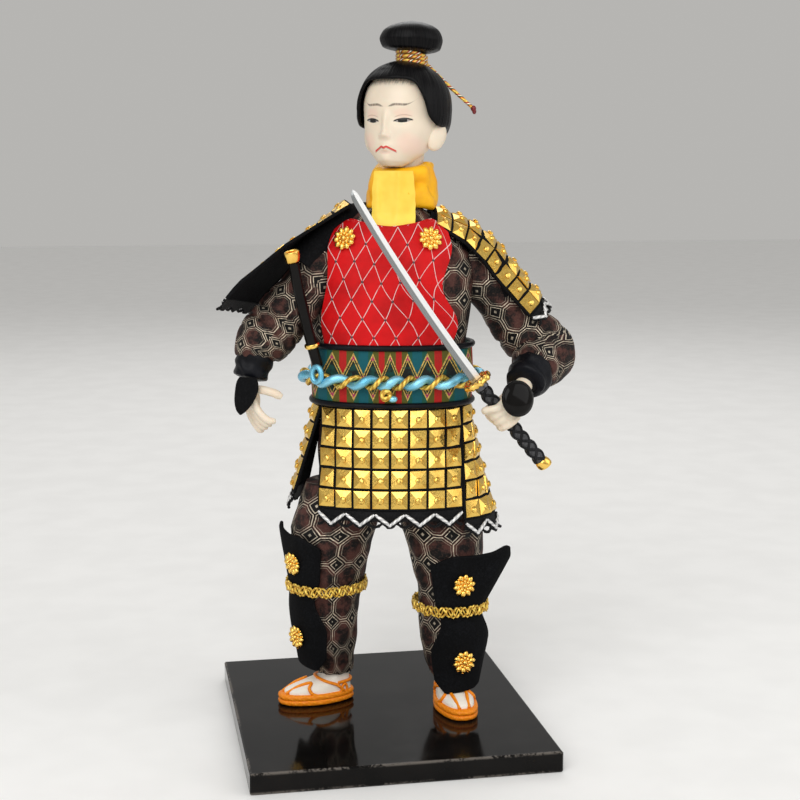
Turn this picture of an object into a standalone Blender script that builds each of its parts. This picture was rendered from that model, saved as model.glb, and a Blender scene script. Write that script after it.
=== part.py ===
"""Samurai doll in armour on a black lacquered base, about 300 mm tall.

The doll stands on two moulded feet that are pinned to the base by steel wires. Its padded legs,
trunk and sleeves carry the armour: studded skirt panels and shoulder guards, felt shin guards,
a chest panel, a belt with a twisted rope, a scarf, a sword held in the left hand and its scabbard.

Metres, +Z up. The origin is the centre of the base's underside, and the base's front faces -Y.
"""

import bpy
import bmesh
from math import cos, exp, pi, radians, sin, sqrt, tau
from mathutils import Matrix, Vector

MM = 0.001

# Clearances
GAP = 0.3 * MM
PAD_CLEARANCE = 0.9 * MM

# Base plate
BASE_WIDTH = 126 * MM
BASE_DEPTH = 137 * MM
BASE_THICKNESS = 8.8 * MM
BASE_EDGE = 0.6 * MM

# Feet, one moulding each with its sandal
FOOT_LENGTH = 34 * MM
FOOT_WIDTH = 15.5 * MM
FOOT_HEIGHT = 13 * MM
SOLE_THICKNESS = 3.0 * MM
ANKLE_RADIUS = 6.2 * MM
WIRE_RADIUS = 0.8 * MM
WIRE_IN_BASE = 6 * MM
WIRE_IN_LEG = 16 * MM

# Legs
LEG_LENGTH = 86 * MM
RIGHT_ANKLE = (-18.5, 10.5)
RIGHT_FOOT_TURN = radians(-82)
RIGHT_SHIN_TURN = radians(-58)
LEFT_ANKLE = (30.0, -4.5)
LEFT_FOOT_TURN = radians(4)
LEFT_SHIN_TURN = radians(4)

# Trunk, measured from the hips upward
TORSO_X = 6.5 * MM
TORSO_Y = 6.0 * MM
TORSO_TURN = radians(-12)
TORSO_HEIGHT = 116 * MM
TORSO_SIDES = 24
SECTION_POWER = 2.2

# Belt and rope
BELT_BOTTOM = 0.2931 * TORSO_HEIGHT
BELT_HEIGHT = 26 * MM
BELT_THICKNESS = 2.0 * MM
PIPING = 0.9 * MM
ROPE_HEIGHT = BELT_BOTTOM + 11 * MM
STRAND_RADIUS = 1.2 * MM
STRAND_LAY = 1.65 * MM
ROPE_TWISTS = 13

# Chest panel
CHEST_PANEL_HEIGHT = 0.4397 * TORSO_HEIGHT
CHEST_PANEL_WIDTH = 0.5 * TORSO_HEIGHT
CHEST_PANEL_THICKNESS = 1.2 * MM

# Studded armour
STUD_PITCH = 0.0664 * TORSO_HEIGHT
STUD_ROW = 1.071 * STUD_PITCH
STUD_PEAK = 1.3 * MM
ARMOUR_CLOTH = 0.9 * MM
LACE_HEIGHT = 6.5 * MM
LACE_THICKNESS = 0.7 * MM
SKIRT_FLARE_SIDE = 13 * MM
SKIRT_FLARE_FRONT = 9 * MM
SKIRT_DROP = 50 * MM
SHOULDER_ROWS = 8

# Shin guards
GUARD_THICKNESS = 1.1 * MM
SHIN_LIFT_RIGHT = 11.0 * MM
SHIN_LIFT_LEFT = 3.2 * MM
BRAID_HEIGHT = 4.6 * MM
BRAID_THICKNESS = 1.3 * MM
ROSETTE_RADIUS = 4.4 * MM
ROSETTE_HEIGHT = 1.9 * MM

# Head
HEAD_X = 4.4 * MM
HEAD_Y = -1.5 * MM
HEAD_TURN = radians(-36)
HEAD_NOD = radians(6)
CHIN_OVER_TRUNK = 16 * MM
CHIN_HEIGHT = TORSO_HEIGHT + CHIN_OVER_TRUNK
HEAD_HEIGHT = 42 * MM
HEAD_HALF_WIDTH = 16.8 * MM
HEAD_FRONT = 17.2 * MM
HEAD_BACK = 20.5 * MM
NECK_RADIUS = 7.6 * MM
HAIR_THICKNESS = 2.4 * MM
HAIR_CLEARANCE = 1.25 * MM
TOPKNOT_HEIGHT = 16.5 * MM
TOPKNOT_RADIUS = 13.2 * MM
TOPKNOT_NECK = 4.8 * MM
TIE_CORD = 0.8 * MM
TAIL_RADIUS = 0.9 * MM

# Scarf
SCARF_RADIUS = 13.8 * MM
SCARF_THICKNESS = 1.0 * MM
SCARF_WIDTH = 16.0 * MM

# Arms
SLEEVE_RADIUS = 13.0 * MM
CUFF_RADIUS_RIGHT = 6.9 * MM
CUFF_RADIUS_LEFT = 8.4 * MM
CUFF_LENGTH = 0.069 * TORSO_HEIGHT
WRIST_RADIUS = 3.6 * MM
HAND_GUARD_RADIUS = 6.6 * MM
HAND_GUARD_THICKNESS = 1.8 * MM
FINGER_RADIUS = 1.6 * MM
FIST_RADIUS = 5.8 * MM
FIST_LENGTH = 12.0 * MM
FIST_ALONG = 24.0 * MM

# Sword and scabbard
BLADE_LENGTH = 92 * MM
BLADE_WIDTH = 4.4 * MM
BLADE_THICKNESS = 1.3 * MM
BLADE_CURVE = 3.3 * MM
TSUBA_RADIUS = 6.2 * MM
TSUBA_THICKNESS = 1.6 * MM
COLLAR_LENGTH = 3.0 * MM
GRIP_LENGTH = 39 * MM
GRIP_RADIUS = 2.6 * MM
CAP_LENGTH = 4.0 * MM
SCABBARD_LENGTH = 50 * MM
SCABBARD_RADIUS = 2.3 * MM
SCABBARD_BOW = 0.8 * MM
MOUTH_LENGTH = 4.5 * MM
BAND_LENGTH = 1.8 * MM

FLOOR = BASE_THICKNESS
ANKLE = FLOOR + FOOT_HEIGHT
HIP = ANKLE + LEG_LENGTH

# One millimetre at the modelled size. Places and small sizes on the body are counted in it, so they
# follow the height of the trunk.
UNIT = TORSO_HEIGHT / 116


# Scene and materials

def clear_scene():
    """Start from an empty scene."""
    for obj in list(bpy.data.objects):
        bpy.data.objects.remove(obj, do_unlink=True)


def material(name, colour, roughness, metallic=0.0):
    """A plain Principled material with a real colour."""
    found = bpy.data.materials.get(name)
    if found:
        return found
    made = bpy.data.materials.new(name)
    made.use_nodes = True
    shader = made.node_tree.nodes["Principled BSDF"]
    shader.inputs["Base Color"].default_value = (*colour, 1.0)
    shader.inputs["Roughness"].default_value = roughness
    shader.inputs["Metallic"].default_value = metallic
    return made


def lacquer():
    return material("black_lacquer", (0.012, 0.012, 0.014), 0.12)


def black_cloth():
    return material("black_cloth", (0.015, 0.015, 0.018), 0.85)


def brocade():
    return material("dark_brocade", (0.06, 0.04, 0.035), 0.6)


def gold():
    return material("gold_plastic", (0.82, 0.58, 0.18), 0.3, 0.9)


def skin():
    return material("ivory_plastic", (0.88, 0.8, 0.72), 0.4)


def hair():
    return material("black_silk", (0.01, 0.01, 0.012), 0.4)


def silver():
    return material("silver_plastic", (0.75, 0.77, 0.78), 0.25, 0.9)


# Mesh helpers

def add_object(name, bm, look, angle=40):
    """Turn a bmesh into a named object with its own look, with round surfaces shaded smooth."""
    bmesh.ops.recalc_face_normals(bm, faces=bm.faces)
    mesh = bpy.data.meshes.new(name)
    bm.to_mesh(mesh)
    bm.free()
    mesh.materials.append(look)
    mesh.shade_smooth()
    mesh.set_sharp_from_angle(angle=radians(angle))
    obj = bpy.data.objects.new(name, mesh)
    bpy.context.collection.objects.link(obj)
    return obj


def loft(rings, ring_round=False):
    """Skin equal rings of points. The ends are closed by a fan unless the rings run round."""
    bm = bmesh.new()
    loops = [[bm.verts.new(point) for point in ring] for ring in rings]
    count = len(loops[0])
    following = loops[1:] + (loops[:1] if ring_round else [])
    for lower, upper in zip(loops, following):
        for i in range(count):
            j = (i + 1) % count
            bm.faces.new((lower[i], lower[j], upper[j], upper[i]))
    if not ring_round:
        ends = [bm.faces.new(loops[0][::-1]), bm.faces.new(loops[-1])]
        bmesh.ops.poke(bm, faces=ends)
    return bm


def sheet(place, columns, rows, thickness):
    """A closed sheet over place(u, v, out), with u and v running from 0 to 1."""
    bm = bmesh.new()
    sides = []
    for out in (0.0, thickness):
        sides.append([[bm.verts.new(place(i / columns, j / rows, out)) for i in range(columns + 1)]
                      for j in range(rows + 1)])
    back, front = sides
    for grid in sides:
        for j in range(rows):
            for i in range(columns):
                bm.faces.new((grid[j][i], grid[j][i + 1], grid[j + 1][i + 1], grid[j + 1][i]))
    close_rim(bm, back, front)
    return bm


def close_rim(bm, back, front):
    """Join the edges of two equal grids of vertices."""
    rim_back = grid_rim(back)
    rim_front = grid_rim(front)
    for k in range(len(rim_back)):
        m = (k + 1) % len(rim_back)
        bm.faces.new((rim_back[k], rim_back[m], rim_front[m], rim_front[k]))


def grid_rim(grid):
    """The vertices round the edge of a grid, in order."""
    top = grid[0]
    right = [row[-1] for row in grid[1:]]
    bottom = grid[-1][-2::-1]
    left = [row[0] for row in grid[-2:0:-1]]
    return top + right + bottom + left


def studded_sheet(place, columns, rows, thickness):
    """A cloth sheet whose front is a grid of square pyramid studs. Place takes u and v in 0..1."""
    bm = bmesh.new()
    back = [[bm.verts.new(place(i / columns, j / rows, 0.0)) for i in range(columns + 1)]
            for j in range(rows + 1)]
    front = [[bm.verts.new(place(i / columns, j / rows, thickness)) for i in range(columns + 1)]
             for j in range(rows + 1)]
    studs = []
    for j in range(rows):
        for i in range(columns):
            bm.faces.new((back[j][i], back[j][i + 1], back[j + 1][i + 1], back[j + 1][i]))
            studs.append(bm.faces.new((front[j][i], front[j + 1][i], front[j + 1][i + 1],
                                       front[j][i + 1])))
    close_rim(bm, back, front)
    bmesh.ops.recalc_face_normals(bm, faces=bm.faces)
    bmesh.ops.poke(bm, faces=studs, offset=STUD_PEAK)
    return bm


def frame_along(points, hint):
    """Tangent, side and front directions at each point of a path, with the side near the hint."""
    frames = []
    for i, point in enumerate(points):
        before = points[max(i - 1, 0)]
        after = points[min(i + 1, len(points) - 1)]
        tangent = (after - before).normalized()
        side = (hint - tangent * hint.dot(tangent)).normalized()
        frames.append((point, tangent, side, tangent.cross(side)))
    return frames


def limb_rings(stations, hint, sides, lobes=0, lobe_depth=0.0):
    """Rings across a limb. A station is a centre, half its width along the hint and half its depth."""
    points = [Vector(station[0]) for station in stations]
    rings = []
    for station, (point, _, side, front) in zip(stations, frame_along(points, hint)):
        ring = []
        for k in range(sides):
            turn = tau * k / sides
            swell = 1.0 - lobe_depth * abs(sin(turn * lobes / 2)) if lobes else 1.0
            ring.append(point + side * station[1] * swell * cos(turn)
                        + front * station[2] * swell * sin(turn))
        rings.append(ring)
    return rings


def limb(stations, hint, sides):
    """A closed solid along a path of stations."""
    return loft(limb_rings(stations, hint, sides))


def cut(obj, cutter):
    """Take a cutter's shape out of an object."""
    cutter.hide_render = True
    cutter.display_type = "WIRE"
    step = obj.modifiers.new("cut_" + cutter.name, "BOOLEAN")
    step.operation = "DIFFERENCE"
    step.solver = "EXACT"
    step.object = cutter


def join(obj, added):
    """Add another closed shape to an object as one body."""
    added.hide_render = True
    added.display_type = "WIRE"
    step = obj.modifiers.new("join_" + added.name, "BOOLEAN")
    step.operation = "UNION"
    step.solver = "EXACT"
    step.object = added


def smooth_step(x):
    """Ease from 0 to 1."""
    x = min(max(x, 0.0), 1.0)
    return x * x * (3 - 2 * x)


def blend(table, x):
    """Read a table of (position, value, ...) rows, with straight runs between its rows."""
    if x <= table[0][0]:
        return table[0][1:]
    for low, high in zip(table, table[1:]):
        if x <= high[0]:
            part = (x - low[0]) / (high[0] - low[0])
            return tuple(a + (b - a) * part for a, b in zip(low[1:], high[1:]))
    return table[-1][1:]


def heading(turn):
    """The level direction that is turned from the front, counted towards the doll's left."""
    return Vector((sin(turn), -cos(turn), 0.0))


def across(turn):
    """The level direction to the doll's left of that heading."""
    return Vector((cos(turn), sin(turn), 0.0))


def from_hip(x, y, up):
    """A point in millimetres from the middle of the hips."""
    return Vector((TORSO_X + x * UNIT, TORSO_Y + y * UNIT, HIP + up * UNIT))


# Base, feet and wires

def base_plate():
    bm = bmesh.new()
    bmesh.ops.create_cube(bm, size=1.0)
    bmesh.ops.scale(bm, verts=bm.verts, vec=(BASE_WIDTH, BASE_DEPTH, BASE_THICKNESS))
    bmesh.ops.translate(bm, verts=bm.verts, vec=(0, 0, BASE_THICKNESS / 2))
    bmesh.ops.bevel(bm, geom=bm.edges[:], offset=BASE_EDGE, segments=1, affect="EDGES", profile=0.5)
    return add_object("base_plate", bm, lacquer())


def foot(name, ankle, turn):
    """A tabi foot and its thick sandal sole in one moulding, with a groove round the sole."""
    sides = 12
    ahead = heading(turn)
    left = across(turn)
    ankle_at = Vector((ankle[0] * UNIT, ankle[1] * UNIT, FLOOR + GAP))
    rise = FOOT_HEIGHT - 2 * GAP
    sole = SOLE_THICKNESS
    levels = ((0.0, 0.985), (0.35 * sole, 1.0), (0.5 * sole, 0.965), (0.65 * sole, 1.0),
              (sole, 0.985), (sole + 0.02 * UNIT, 0.86))
    rings = [foot_ring(ankle_at, ahead, left, level, 0.0, share, sides) for level, share in levels]
    steps = 4
    for k in range(1, steps + 1):
        part = k / steps
        level = sole + (rise - sole) * part
        rings.append(foot_ring(ankle_at, ahead, left, level, part, 0.86, sides))
    return add_object(name, loft(rings), skin())


def foot_ring(ankle_at, ahead, left, level, part, share, sides):
    """One level outline of a foot: a rounded shape from heel to toe that closes on the ankle."""
    heel = -0.24 * FOOT_LENGTH
    toe = heel + FOOT_LENGTH
    settle = smooth_step(part * 1.35)
    toe_now = toe * share * (1 - settle) + ANKLE_RADIUS * settle
    heel_now = heel * share * (1 - settle) - ANKLE_RADIUS * settle
    middle = (toe_now + heel_now) / 2
    reach = (toe_now - heel_now) / 2
    wide = FOOT_WIDTH / 2 * share * (1 - settle) + ANKLE_RADIUS * 0.9 * settle
    ring = []
    for k in range(sides):
        turn = tau * k / sides
        waist = 1.0 - 0.12 * (1 - settle) * max(0.0, cos(turn + pi)) - 0.06 * abs(sin(2 * turn))
        point = ankle_at + ahead * (middle + reach * cos(turn)) + left * wide * waist * sin(turn)
        ring.append(point + Vector((0, 0, level)))
    return ring


def foot_wire(name, ankle):
    """A steel wire that pins a foot to the base and runs up into the leg."""
    bottom = BASE_THICKNESS - WIRE_IN_BASE
    top = ANKLE + WIRE_IN_LEG
    return add_object(name, rod(ankle, bottom + GAP, top - GAP, WIRE_RADIUS),
                      material("steel_wire", (0.55, 0.55, 0.56), 0.35, 1.0))


def rod(place, bottom, top, radius):
    bm = bmesh.new()
    bmesh.ops.create_cone(bm, cap_ends=True, segments=8, radius1=radius, radius2=radius,
                          depth=top - bottom)
    bmesh.ops.translate(bm, verts=bm.verts,
                        vec=(place[0] * UNIT, place[1] * UNIT, (top + bottom) / 2))
    return bm


def wire_hole(name, ankle):
    """The cutter for a wire's holes in the base, the foot and the leg."""
    bottom = BASE_THICKNESS - WIRE_IN_BASE
    top = ANKLE + WIRE_IN_LEG
    return add_object(name, rod(ankle, bottom, top, WIRE_RADIUS + GAP), black_cloth())


# Legs

def leg_table(side):
    """Height share, centre x and y and half width and depth of a trouser leg, in millimetres."""
    if side == "right":
        x, y = RIGHT_ANKLE
        return ((0.0, x, y, 7.6, 7.6), (0.06, x - 1, y, 10.0, 10.0), (0.2, x - 3, y, 12.6, 12.2),
                (0.34, x - 2.8, y, 13.6, 13.2), (0.48, x - 2.6, y - 0.5, 14.6, 14.0),
                (0.62, x - 1.6, y - 1, 16.6, 16.4), (0.76, x - 0.4, y - 2, 18.6, 18.0),
                (0.9, x + 2.4, y - 3, 17.6, 17.6), (1.0, x + 4.6, y - 4, 16.8, 17.0))
    x, y = LEFT_ANKLE
    return ((0.0, x, y, 7.6, 7.6), (0.06, x, y, 10.0, 10.0), (0.2, x, y, 12.8, 12.4),
            (0.34, x, y + 1, 13.4, 13.0), (0.48, x + 0.1, y + 2, 14.0, 13.6),
            (0.62, x - 0.8, y + 4, 16.0, 15.6), (0.76, x - 2.2, y + 6, 17.6, 17.6),
            (0.9, x - 4.4, y + 8, 17.4, 17.6), (1.0, x - 5.6, y + 9.5, 16.8, 17.0))


def leg_point(side, part, turn, out):
    """A point of a leg's surface at a share of its height, pushed outward."""
    x, y, wide, deep = blend(leg_table(side), part)
    ahead = heading(turn)
    reach = Vector((ahead.x * (wide * UNIT + out), ahead.y * (deep * UNIT + out), 0.0))
    return Vector((x * UNIT, y * UNIT, ANKLE + part * (LEG_LENGTH - GAP))) + reach


def trouser_leg(side):
    """A padded trouser leg that tapers to the ankle."""
    sides = 16
    steps = 11
    rings = []
    for k in range(steps + 1):
        part = k / steps
        fold = (0.35 if k % 2 else -0.35) * UNIT if 0 < k < steps else 0.0
        rings.append([leg_point(side, part, tau * i / sides, fold) for i in range(sides)])
    return add_object(side + "_trouser_leg", loft(rings), brocade())


def shin_turn(side):
    return RIGHT_SHIN_TURN if side == "right" else LEFT_SHIN_TURN


def shin_lift(side):
    """How much higher the right shin's armour is worn than the drawn outline."""
    return SHIN_LIFT_RIGHT if side == "right" else SHIN_LIFT_LEFT


def shin_place(side, reach, height, out):
    """A point on a shin guard from its reach round the leg and its height over the base."""
    x, y, wide, deep = blend(leg_table(side), (height + FLOOR - ANKLE) / LEG_LENGTH)
    radius = max(wide, deep) * UNIT + 0.6 * UNIT + GAP
    radius = max(radius, 13.6 * UNIT)
    turn = shin_turn(side) + reach / radius
    centre = Vector((x * UNIT, y * UNIT, FLOOR + height))
    return centre + heading(turn) * (radius + out)


def guard_edges(side):
    """Edges of a shin guard: reach at the inner and outer side, height at the top and bottom."""
    horn = 1.0 if side == "left" else -1.0
    inner = ((0.0, -11.0), (0.3, -9.5), (0.45, -7.0), (0.55, -7.2), (0.75, -11.0), (1.0, -9.5))
    outer = ((0.0, 17.5), (0.12, 15.5), (0.45, 10.0), (0.7, 12.5), (0.85, 12.0), (1.0, 9.5))
    top = ((0.0, 63.0), (0.35, 67.5), (0.6, 66.0), (0.8, 67.5), (1.0, 71.0))
    bottom = ((0.0, 6.5), (0.25, 3.6), (0.6, 3.9), (1.0, 6.5))
    return horn, inner, outer, top, bottom


def shin_guard(side):
    """A felt guard in front of the shin, with a horn at its outer top corner."""
    horn, inner, outer, top, bottom = guard_edges(side)

    def place(u, v, out):
        start = blend(inner, v)[0]
        end = blend(outer, v)[0]
        high = blend(top, u)[0]
        low = blend(bottom, u)[0]
        reach = horn * (start + (end - start) * u) * UNIT
        lift = smooth_step((u - 0.6) / 0.4) * smooth_step((0.35 - v) / 0.35) * 3.0 * UNIT
        return shin_place(side, reach, (high + (low - high) * v) * UNIT + shin_lift(side), out + lift)

    look = material("black_felt", (0.012, 0.013, 0.016), 0.95)
    return add_object(side + "_shin_guard", sheet(place, 5, 8, GUARD_THICKNESS), look)


def shin_braid(side):
    """A gold braid tied round the leg and over the waist of the shin guard."""
    horn = 1.0 if side == "left" else -1.0
    sides = 24
    height = 42.0 * UNIT + shin_lift(side)
    rings = []
    for k in range(sides):
        turn = tau * k / sides
        near = (turn + pi) % tau - pi
        on_guard = smooth_step((1.25 - abs(near - 0.06 * horn)) / 0.3)
        out = on_guard * (GUARD_THICKNESS + GAP)
        wave = 0.35 * UNIT * (1 if k % 2 else -1)
        radius = braid_radius(side, height)
        x, y, _, _ = blend(leg_table(side), (height + FLOOR - ANKLE) / LEG_LENGTH)
        centre = Vector((x * UNIT, y * UNIT, FLOOR + height))
        away = heading(shin_turn(side) + near)
        ring = []
        for up, thick in ((-0.5, 0.0), (-0.5, 0.6), (0.0, 1.0), (0.5, 0.6), (0.5, 0.0)):
            point = centre + away * (radius + out + thick * BRAID_THICKNESS)
            point.z += up * BRAID_HEIGHT + wave * thick
            ring.append(point)
        rings.append(ring)
    look = material("gold_braid", (0.75, 0.5, 0.12), 0.45, 0.6)
    return add_object(side + "_shin_braid", loft(rings, ring_round=True), look)


def braid_radius(side, height):
    """Radius of the inner side of the braid, clear of the leg above and below it."""
    x, y, wide, deep = blend(leg_table(side), (height + FLOOR - ANKLE) / LEG_LENGTH)
    return max(max(wide, deep) * UNIT + 0.6 * UNIT + 2 * GAP, 13.6 * UNIT + GAP)


def rosette(name, centre, normal):
    """A round metal ornament with two rings of petals and a boss."""
    petals = 6
    sides = petals * 2
    normal = normal.normalized()
    side = normal.orthogonal().normalized()
    other = normal.cross(side)
    levels = ((0.92, 0.0, 0.0), (1.0, 0.35, 0.12), (0.78, 0.8, 0.1), (0.5, 0.62, -0.1),
              (0.36, 1.0, -0.08))
    rings = []
    for share, lift, scallop in levels:
        ring = []
        for k in range(sides):
            turn = tau * k / sides
            reach = ROSETTE_RADIUS * share * (1 - scallop * (k % 2))
            ring.append(centre + side * reach * cos(turn) + other * reach * sin(turn)
                        + normal * lift * ROSETTE_HEIGHT)
        rings.append(ring)
    return add_object(name, loft(rings), gold())


def shin_rosettes(side):
    """Two rosettes down the middle of a shin guard."""
    reach = (1.5 if side == "left" else -1.5) * UNIT
    rise = GUARD_THICKNESS + PAD_CLEARANCE
    for label, drawn in (("upper", 53.5 * UNIT), ("lower", 20.0 * UNIT)):
        height = drawn + shin_lift(side)
        point = shin_place(side, reach, height, rise)
        beside = shin_place(side, reach + UNIT, height, rise)
        above = shin_place(side, reach, height + UNIT, rise)
        rosette(side + "_shin_rosette_" + label, point, (beside - point).cross(above - point))


# Trunk

TORSO_TABLE = ((0.0, 31.0, 19.0), (0.12, 32.0, 20.0), (0.29, 31.5, 20.5), (0.4, 31.8, 20.5),
               (0.52, 31.5, 20.5), (0.64, 33.6, 21.6), (0.75, 34.6, 21.8), (0.84, 32.6, 20.6),
               (0.91, 27.0, 18.6), (0.96, 19.5, 15.5), (1.0, 13.0, 12.5))


def torso_section(up):
    """Half width and half depth of the trunk at a height over the hips."""
    wide, deep = blend(TORSO_TABLE, up / TORSO_HEIGHT)
    return wide * UNIT, deep * UNIT


def section_point(wide, deep, turn, out):
    """A point of a rounded level section with its outward push square to the outline."""
    def rim(at):
        reach = (abs(sin(at)) / wide) ** SECTION_POWER + (abs(cos(at)) / deep) ** SECTION_POWER
        return Vector((sin(at), -cos(at))) * reach ** (-1 / SECTION_POWER)
    step = 0.01
    run = rim(turn + step) - rim(turn - step)
    away = Vector((run.y, -run.x)).normalized()
    if away.dot(rim(turn)) < 0:
        away = -away
    return rim(turn) + away * out


def turned(flat, up):
    """Place a level point of the trunk in the doll's frame."""
    level = Matrix.Rotation(TORSO_TURN, 2) @ flat
    return Vector((TORSO_X + level.x, TORSO_Y + level.y, HIP + up))


def torso_point(turn, up, out):
    """A point of the trunk's surface, pushed outward."""
    wide, deep = torso_section(up)
    return turned(section_point(wide, deep, turn, out), up)


def torso_rings(out):
    """Rings of the trunk, or of the trunk grown by a clearance."""
    rings = []
    for row in TORSO_TABLE:
        up = row[0] * TORSO_HEIGHT
        grown = up + (out if row[0] == 1.0 else -out if row[0] == 0.0 else 0.0)
        ring = [torso_point(tau * k / TORSO_SIDES, up, out) for k in range(TORSO_SIDES)]
        for point in ring:
            point.z = HIP + grown
        rings.append(ring)
    return rings


def torso():
    """The padded trunk in its jacket."""
    return add_object("torso", loft(torso_rings(0.0)), brocade())


def arc_turn(wide, deep, out, start, reach):
    """The turn that lies a given reach along a section's outline from a start."""
    step = radians(1.0) if reach > 0 else radians(-1.0)
    walked = 0.0
    turn = start
    here = section_point(wide, deep, turn, out)
    while walked < abs(reach):
        there = section_point(wide, deep, turn + step, out)
        length = (there - here).length
        if walked + length > abs(reach):
            return turn + step * (abs(reach) - walked) / length
        walked += length
        turn += step
        here = there
    return turn


def chest_panel():
    """The red panel over the chest, with two raised corners and a dip under the scarf."""
    bottom = BELT_BOTTOM + BELT_HEIGHT + GAP
    half = CHEST_PANEL_WIDTH / 2
    right = ((0.0, -0.8), (0.15, -0.86), (0.45, -0.86), (0.8, -0.98), (1.0, -0.94))
    left = ((0.0, 0.84), (0.15, 0.88), (0.5, 0.74), (0.8, 0.98), (1.0, 0.9))
    top = ((0.0, 0.93), (0.14, 1.0), (0.3, 0.97), (0.5, 0.945), (0.7, 0.97), (0.87, 1.0), (1.0, 0.9))

    def place(u, v, out):
        start = blend(right, v)[0] * half
        end = blend(left, v)[0] * half
        high = bottom + blend(top, u)[0] * CHEST_PANEL_HEIGHT
        up = high + (bottom - high) * v
        wide, deep = torso_section(up)
        turn = arc_turn(wide, deep, 0.0, radians(-2), start + (end - start) * u)
        return torso_point(turn, up, PAD_CLEARANCE + 0.5 * UNIT + out)

    look = material("red_satin", (0.75, 0.02, 0.02), 0.35)
    return add_object("chest_panel", sheet(place, 9, 7, CHEST_PANEL_THICKNESS), look)


def chest_rosettes():
    """A rosette at each raised corner of the chest panel."""
    up = BELT_BOTTOM + BELT_HEIGHT + 0.86 * CHEST_PANEL_HEIGHT
    wide, deep = torso_section(up)
    for name, reach in (("right_chest_rosette", -17.0 * UNIT), ("left_chest_rosette", 16.0 * UNIT)):
        turn = arc_turn(wide, deep, 0.0, radians(-2), reach)
        rise = PAD_CLEARANCE + CHEST_PANEL_THICKNESS + PAD_CLEARANCE
        point = torso_point(turn, up, rise)
        above = torso_point(turn, up + UNIT, rise)
        beside = torso_point(turn + 0.02, up, rise)
        away = (beside - point).cross(above - point)
        rosette(name, point, away)


def belt():
    """A wide brocade belt with a cord of piping along each edge."""
    low = BELT_BOTTOM
    high = BELT_BOTTOM + BELT_HEIGHT
    thick = BELT_THICKNESS
    profile = ((0.0, low), (thick + PIPING, low), (thick + PIPING, low + 2 * PIPING),
               (thick, low + 3 * PIPING), (thick, high - 3 * PIPING),
               (thick + PIPING, high - 2 * PIPING), (thick + PIPING, high), (0.0, high))
    rings = []
    for k in range(TORSO_SIDES):
        turn = tau * k / TORSO_SIDES
        rings.append([belt_point(turn, up, out) for out, up in profile])
    look = material("belt_brocade", (0.1, 0.3, 0.3), 0.5)
    return add_object("belt", loft(rings, ring_round=True), look)


def belt_point(turn, up, out):
    """A point of the belt, whose inside is one straight band round the waist."""
    wide = max(torso_section(BELT_BOTTOM)[0], torso_section(BELT_BOTTOM + BELT_HEIGHT)[0],
               torso_section(0.4 * TORSO_HEIGHT)[0])
    deep = max(torso_section(BELT_BOTTOM)[1], torso_section(BELT_BOTTOM + BELT_HEIGHT)[1],
               torso_section(0.4 * TORSO_HEIGHT)[1])
    return turned(section_point(wide, deep, turn, GAP + out), up)


def rope_strand(name, start, look):
    """One strand of the rope that is twisted round the belt."""
    steps = 4 * ROPE_TWISTS
    sides = 5
    lay = STRAND_LAY
    middle = BELT_THICKNESS + lay + STRAND_RADIUS + GAP
    centres = []
    for k in range(steps):
        turn = tau * k / steps
        twist = start + tau * ROPE_TWISTS * k / steps
        centres.append(belt_point(turn, ROPE_HEIGHT + lay * sin(twist), middle + lay * cos(twist)))
    rings = []
    for k in range(steps):
        ahead = (centres[(k + 1) % steps] - centres[k - 1]).normalized()
        up = Vector((0, 0, 1))
        side = ahead.cross(up).normalized()
        rise = side.cross(ahead)
        rings.append([centres[k] + (side * cos(tau * i / sides) + rise * sin(tau * i / sides))
                      * STRAND_RADIUS for i in range(sides)])
    return add_object(name, loft(rings, ring_round=True), look)


# Skirt

def skirt_point(start, low_start, reach, drop, out):
    """A point of the skirt from its reach round the doll, its drop from the belt and its push."""
    wide, deep = torso_section(BELT_BOTTOM)
    part = drop / SKIRT_DROP
    top = section_at(wide + PAD_CLEARANCE, deep + PAD_CLEARANCE, start, reach, out)
    low = section_at(wide + PAD_CLEARANCE + SKIRT_FLARE_SIDE,
                     deep + PAD_CLEARANCE + SKIRT_FLARE_FRONT, low_start, reach, out)
    flat = top + (low - top) * part
    return turned(flat, BELT_BOTTOM - GAP - drop)


def section_at(wide, deep, start, reach, out):
    return section_point(wide, deep, arc_turn(wide, deep, 0.0, start, reach), out)


def skirt_panel(name, start, low_start, columns, rows, length):
    """A cloth panel of the skirt with its grid of gold studs."""
    half = columns * STUD_PITCH / 2

    def place(u, v, out):
        return skirt_point(start, low_start, (2 * u - 1) * half, v * length, out)

    return add_object(name, studded_sheet(place, columns, rows, ARMOUR_CLOTH), gold(), angle=10)


def lace(name, edge, count):
    """A lace trim that hangs from an edge, with a pointed lower border. Edge takes u, drop and out."""
    def place(u, v, out):
        point = round(u * count)
        drop = LACE_HEIGHT * (1.0 if point % 2 else 0.72)
        return edge(u, GAP + v * drop, out)

    look = material("black_lace", (0.05, 0.05, 0.055), 0.8)
    return add_object(name, sheet(place, count, 1, LACE_THICKNESS), look)


def skirt():
    """Four studded panels that hang from the belt, each with its lace."""
    panels = (("front", 0.0, 0.0, 8, 5, STUD_ROW), ("left", pi / 2, radians(68), 3, 6, STUD_PITCH),
              ("back", pi, pi, 8, 5, STUD_ROW), ("right", -pi / 2, radians(-97), 3, 5, STUD_PITCH))
    for side, start, low_start, columns, rows, row in panels:
        skirt_panel(side + "_skirt_panel", start, low_start, columns, rows, rows * row)
        half = columns * STUD_PITCH / 2
        length = rows * row

        def edge(u, drop, out):
            return skirt_point(start, low_start, (2 * u - 1) * half, length + drop, out)

        lace(side + "_skirt_lace", edge, columns + 2)


# Head and hair

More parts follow.
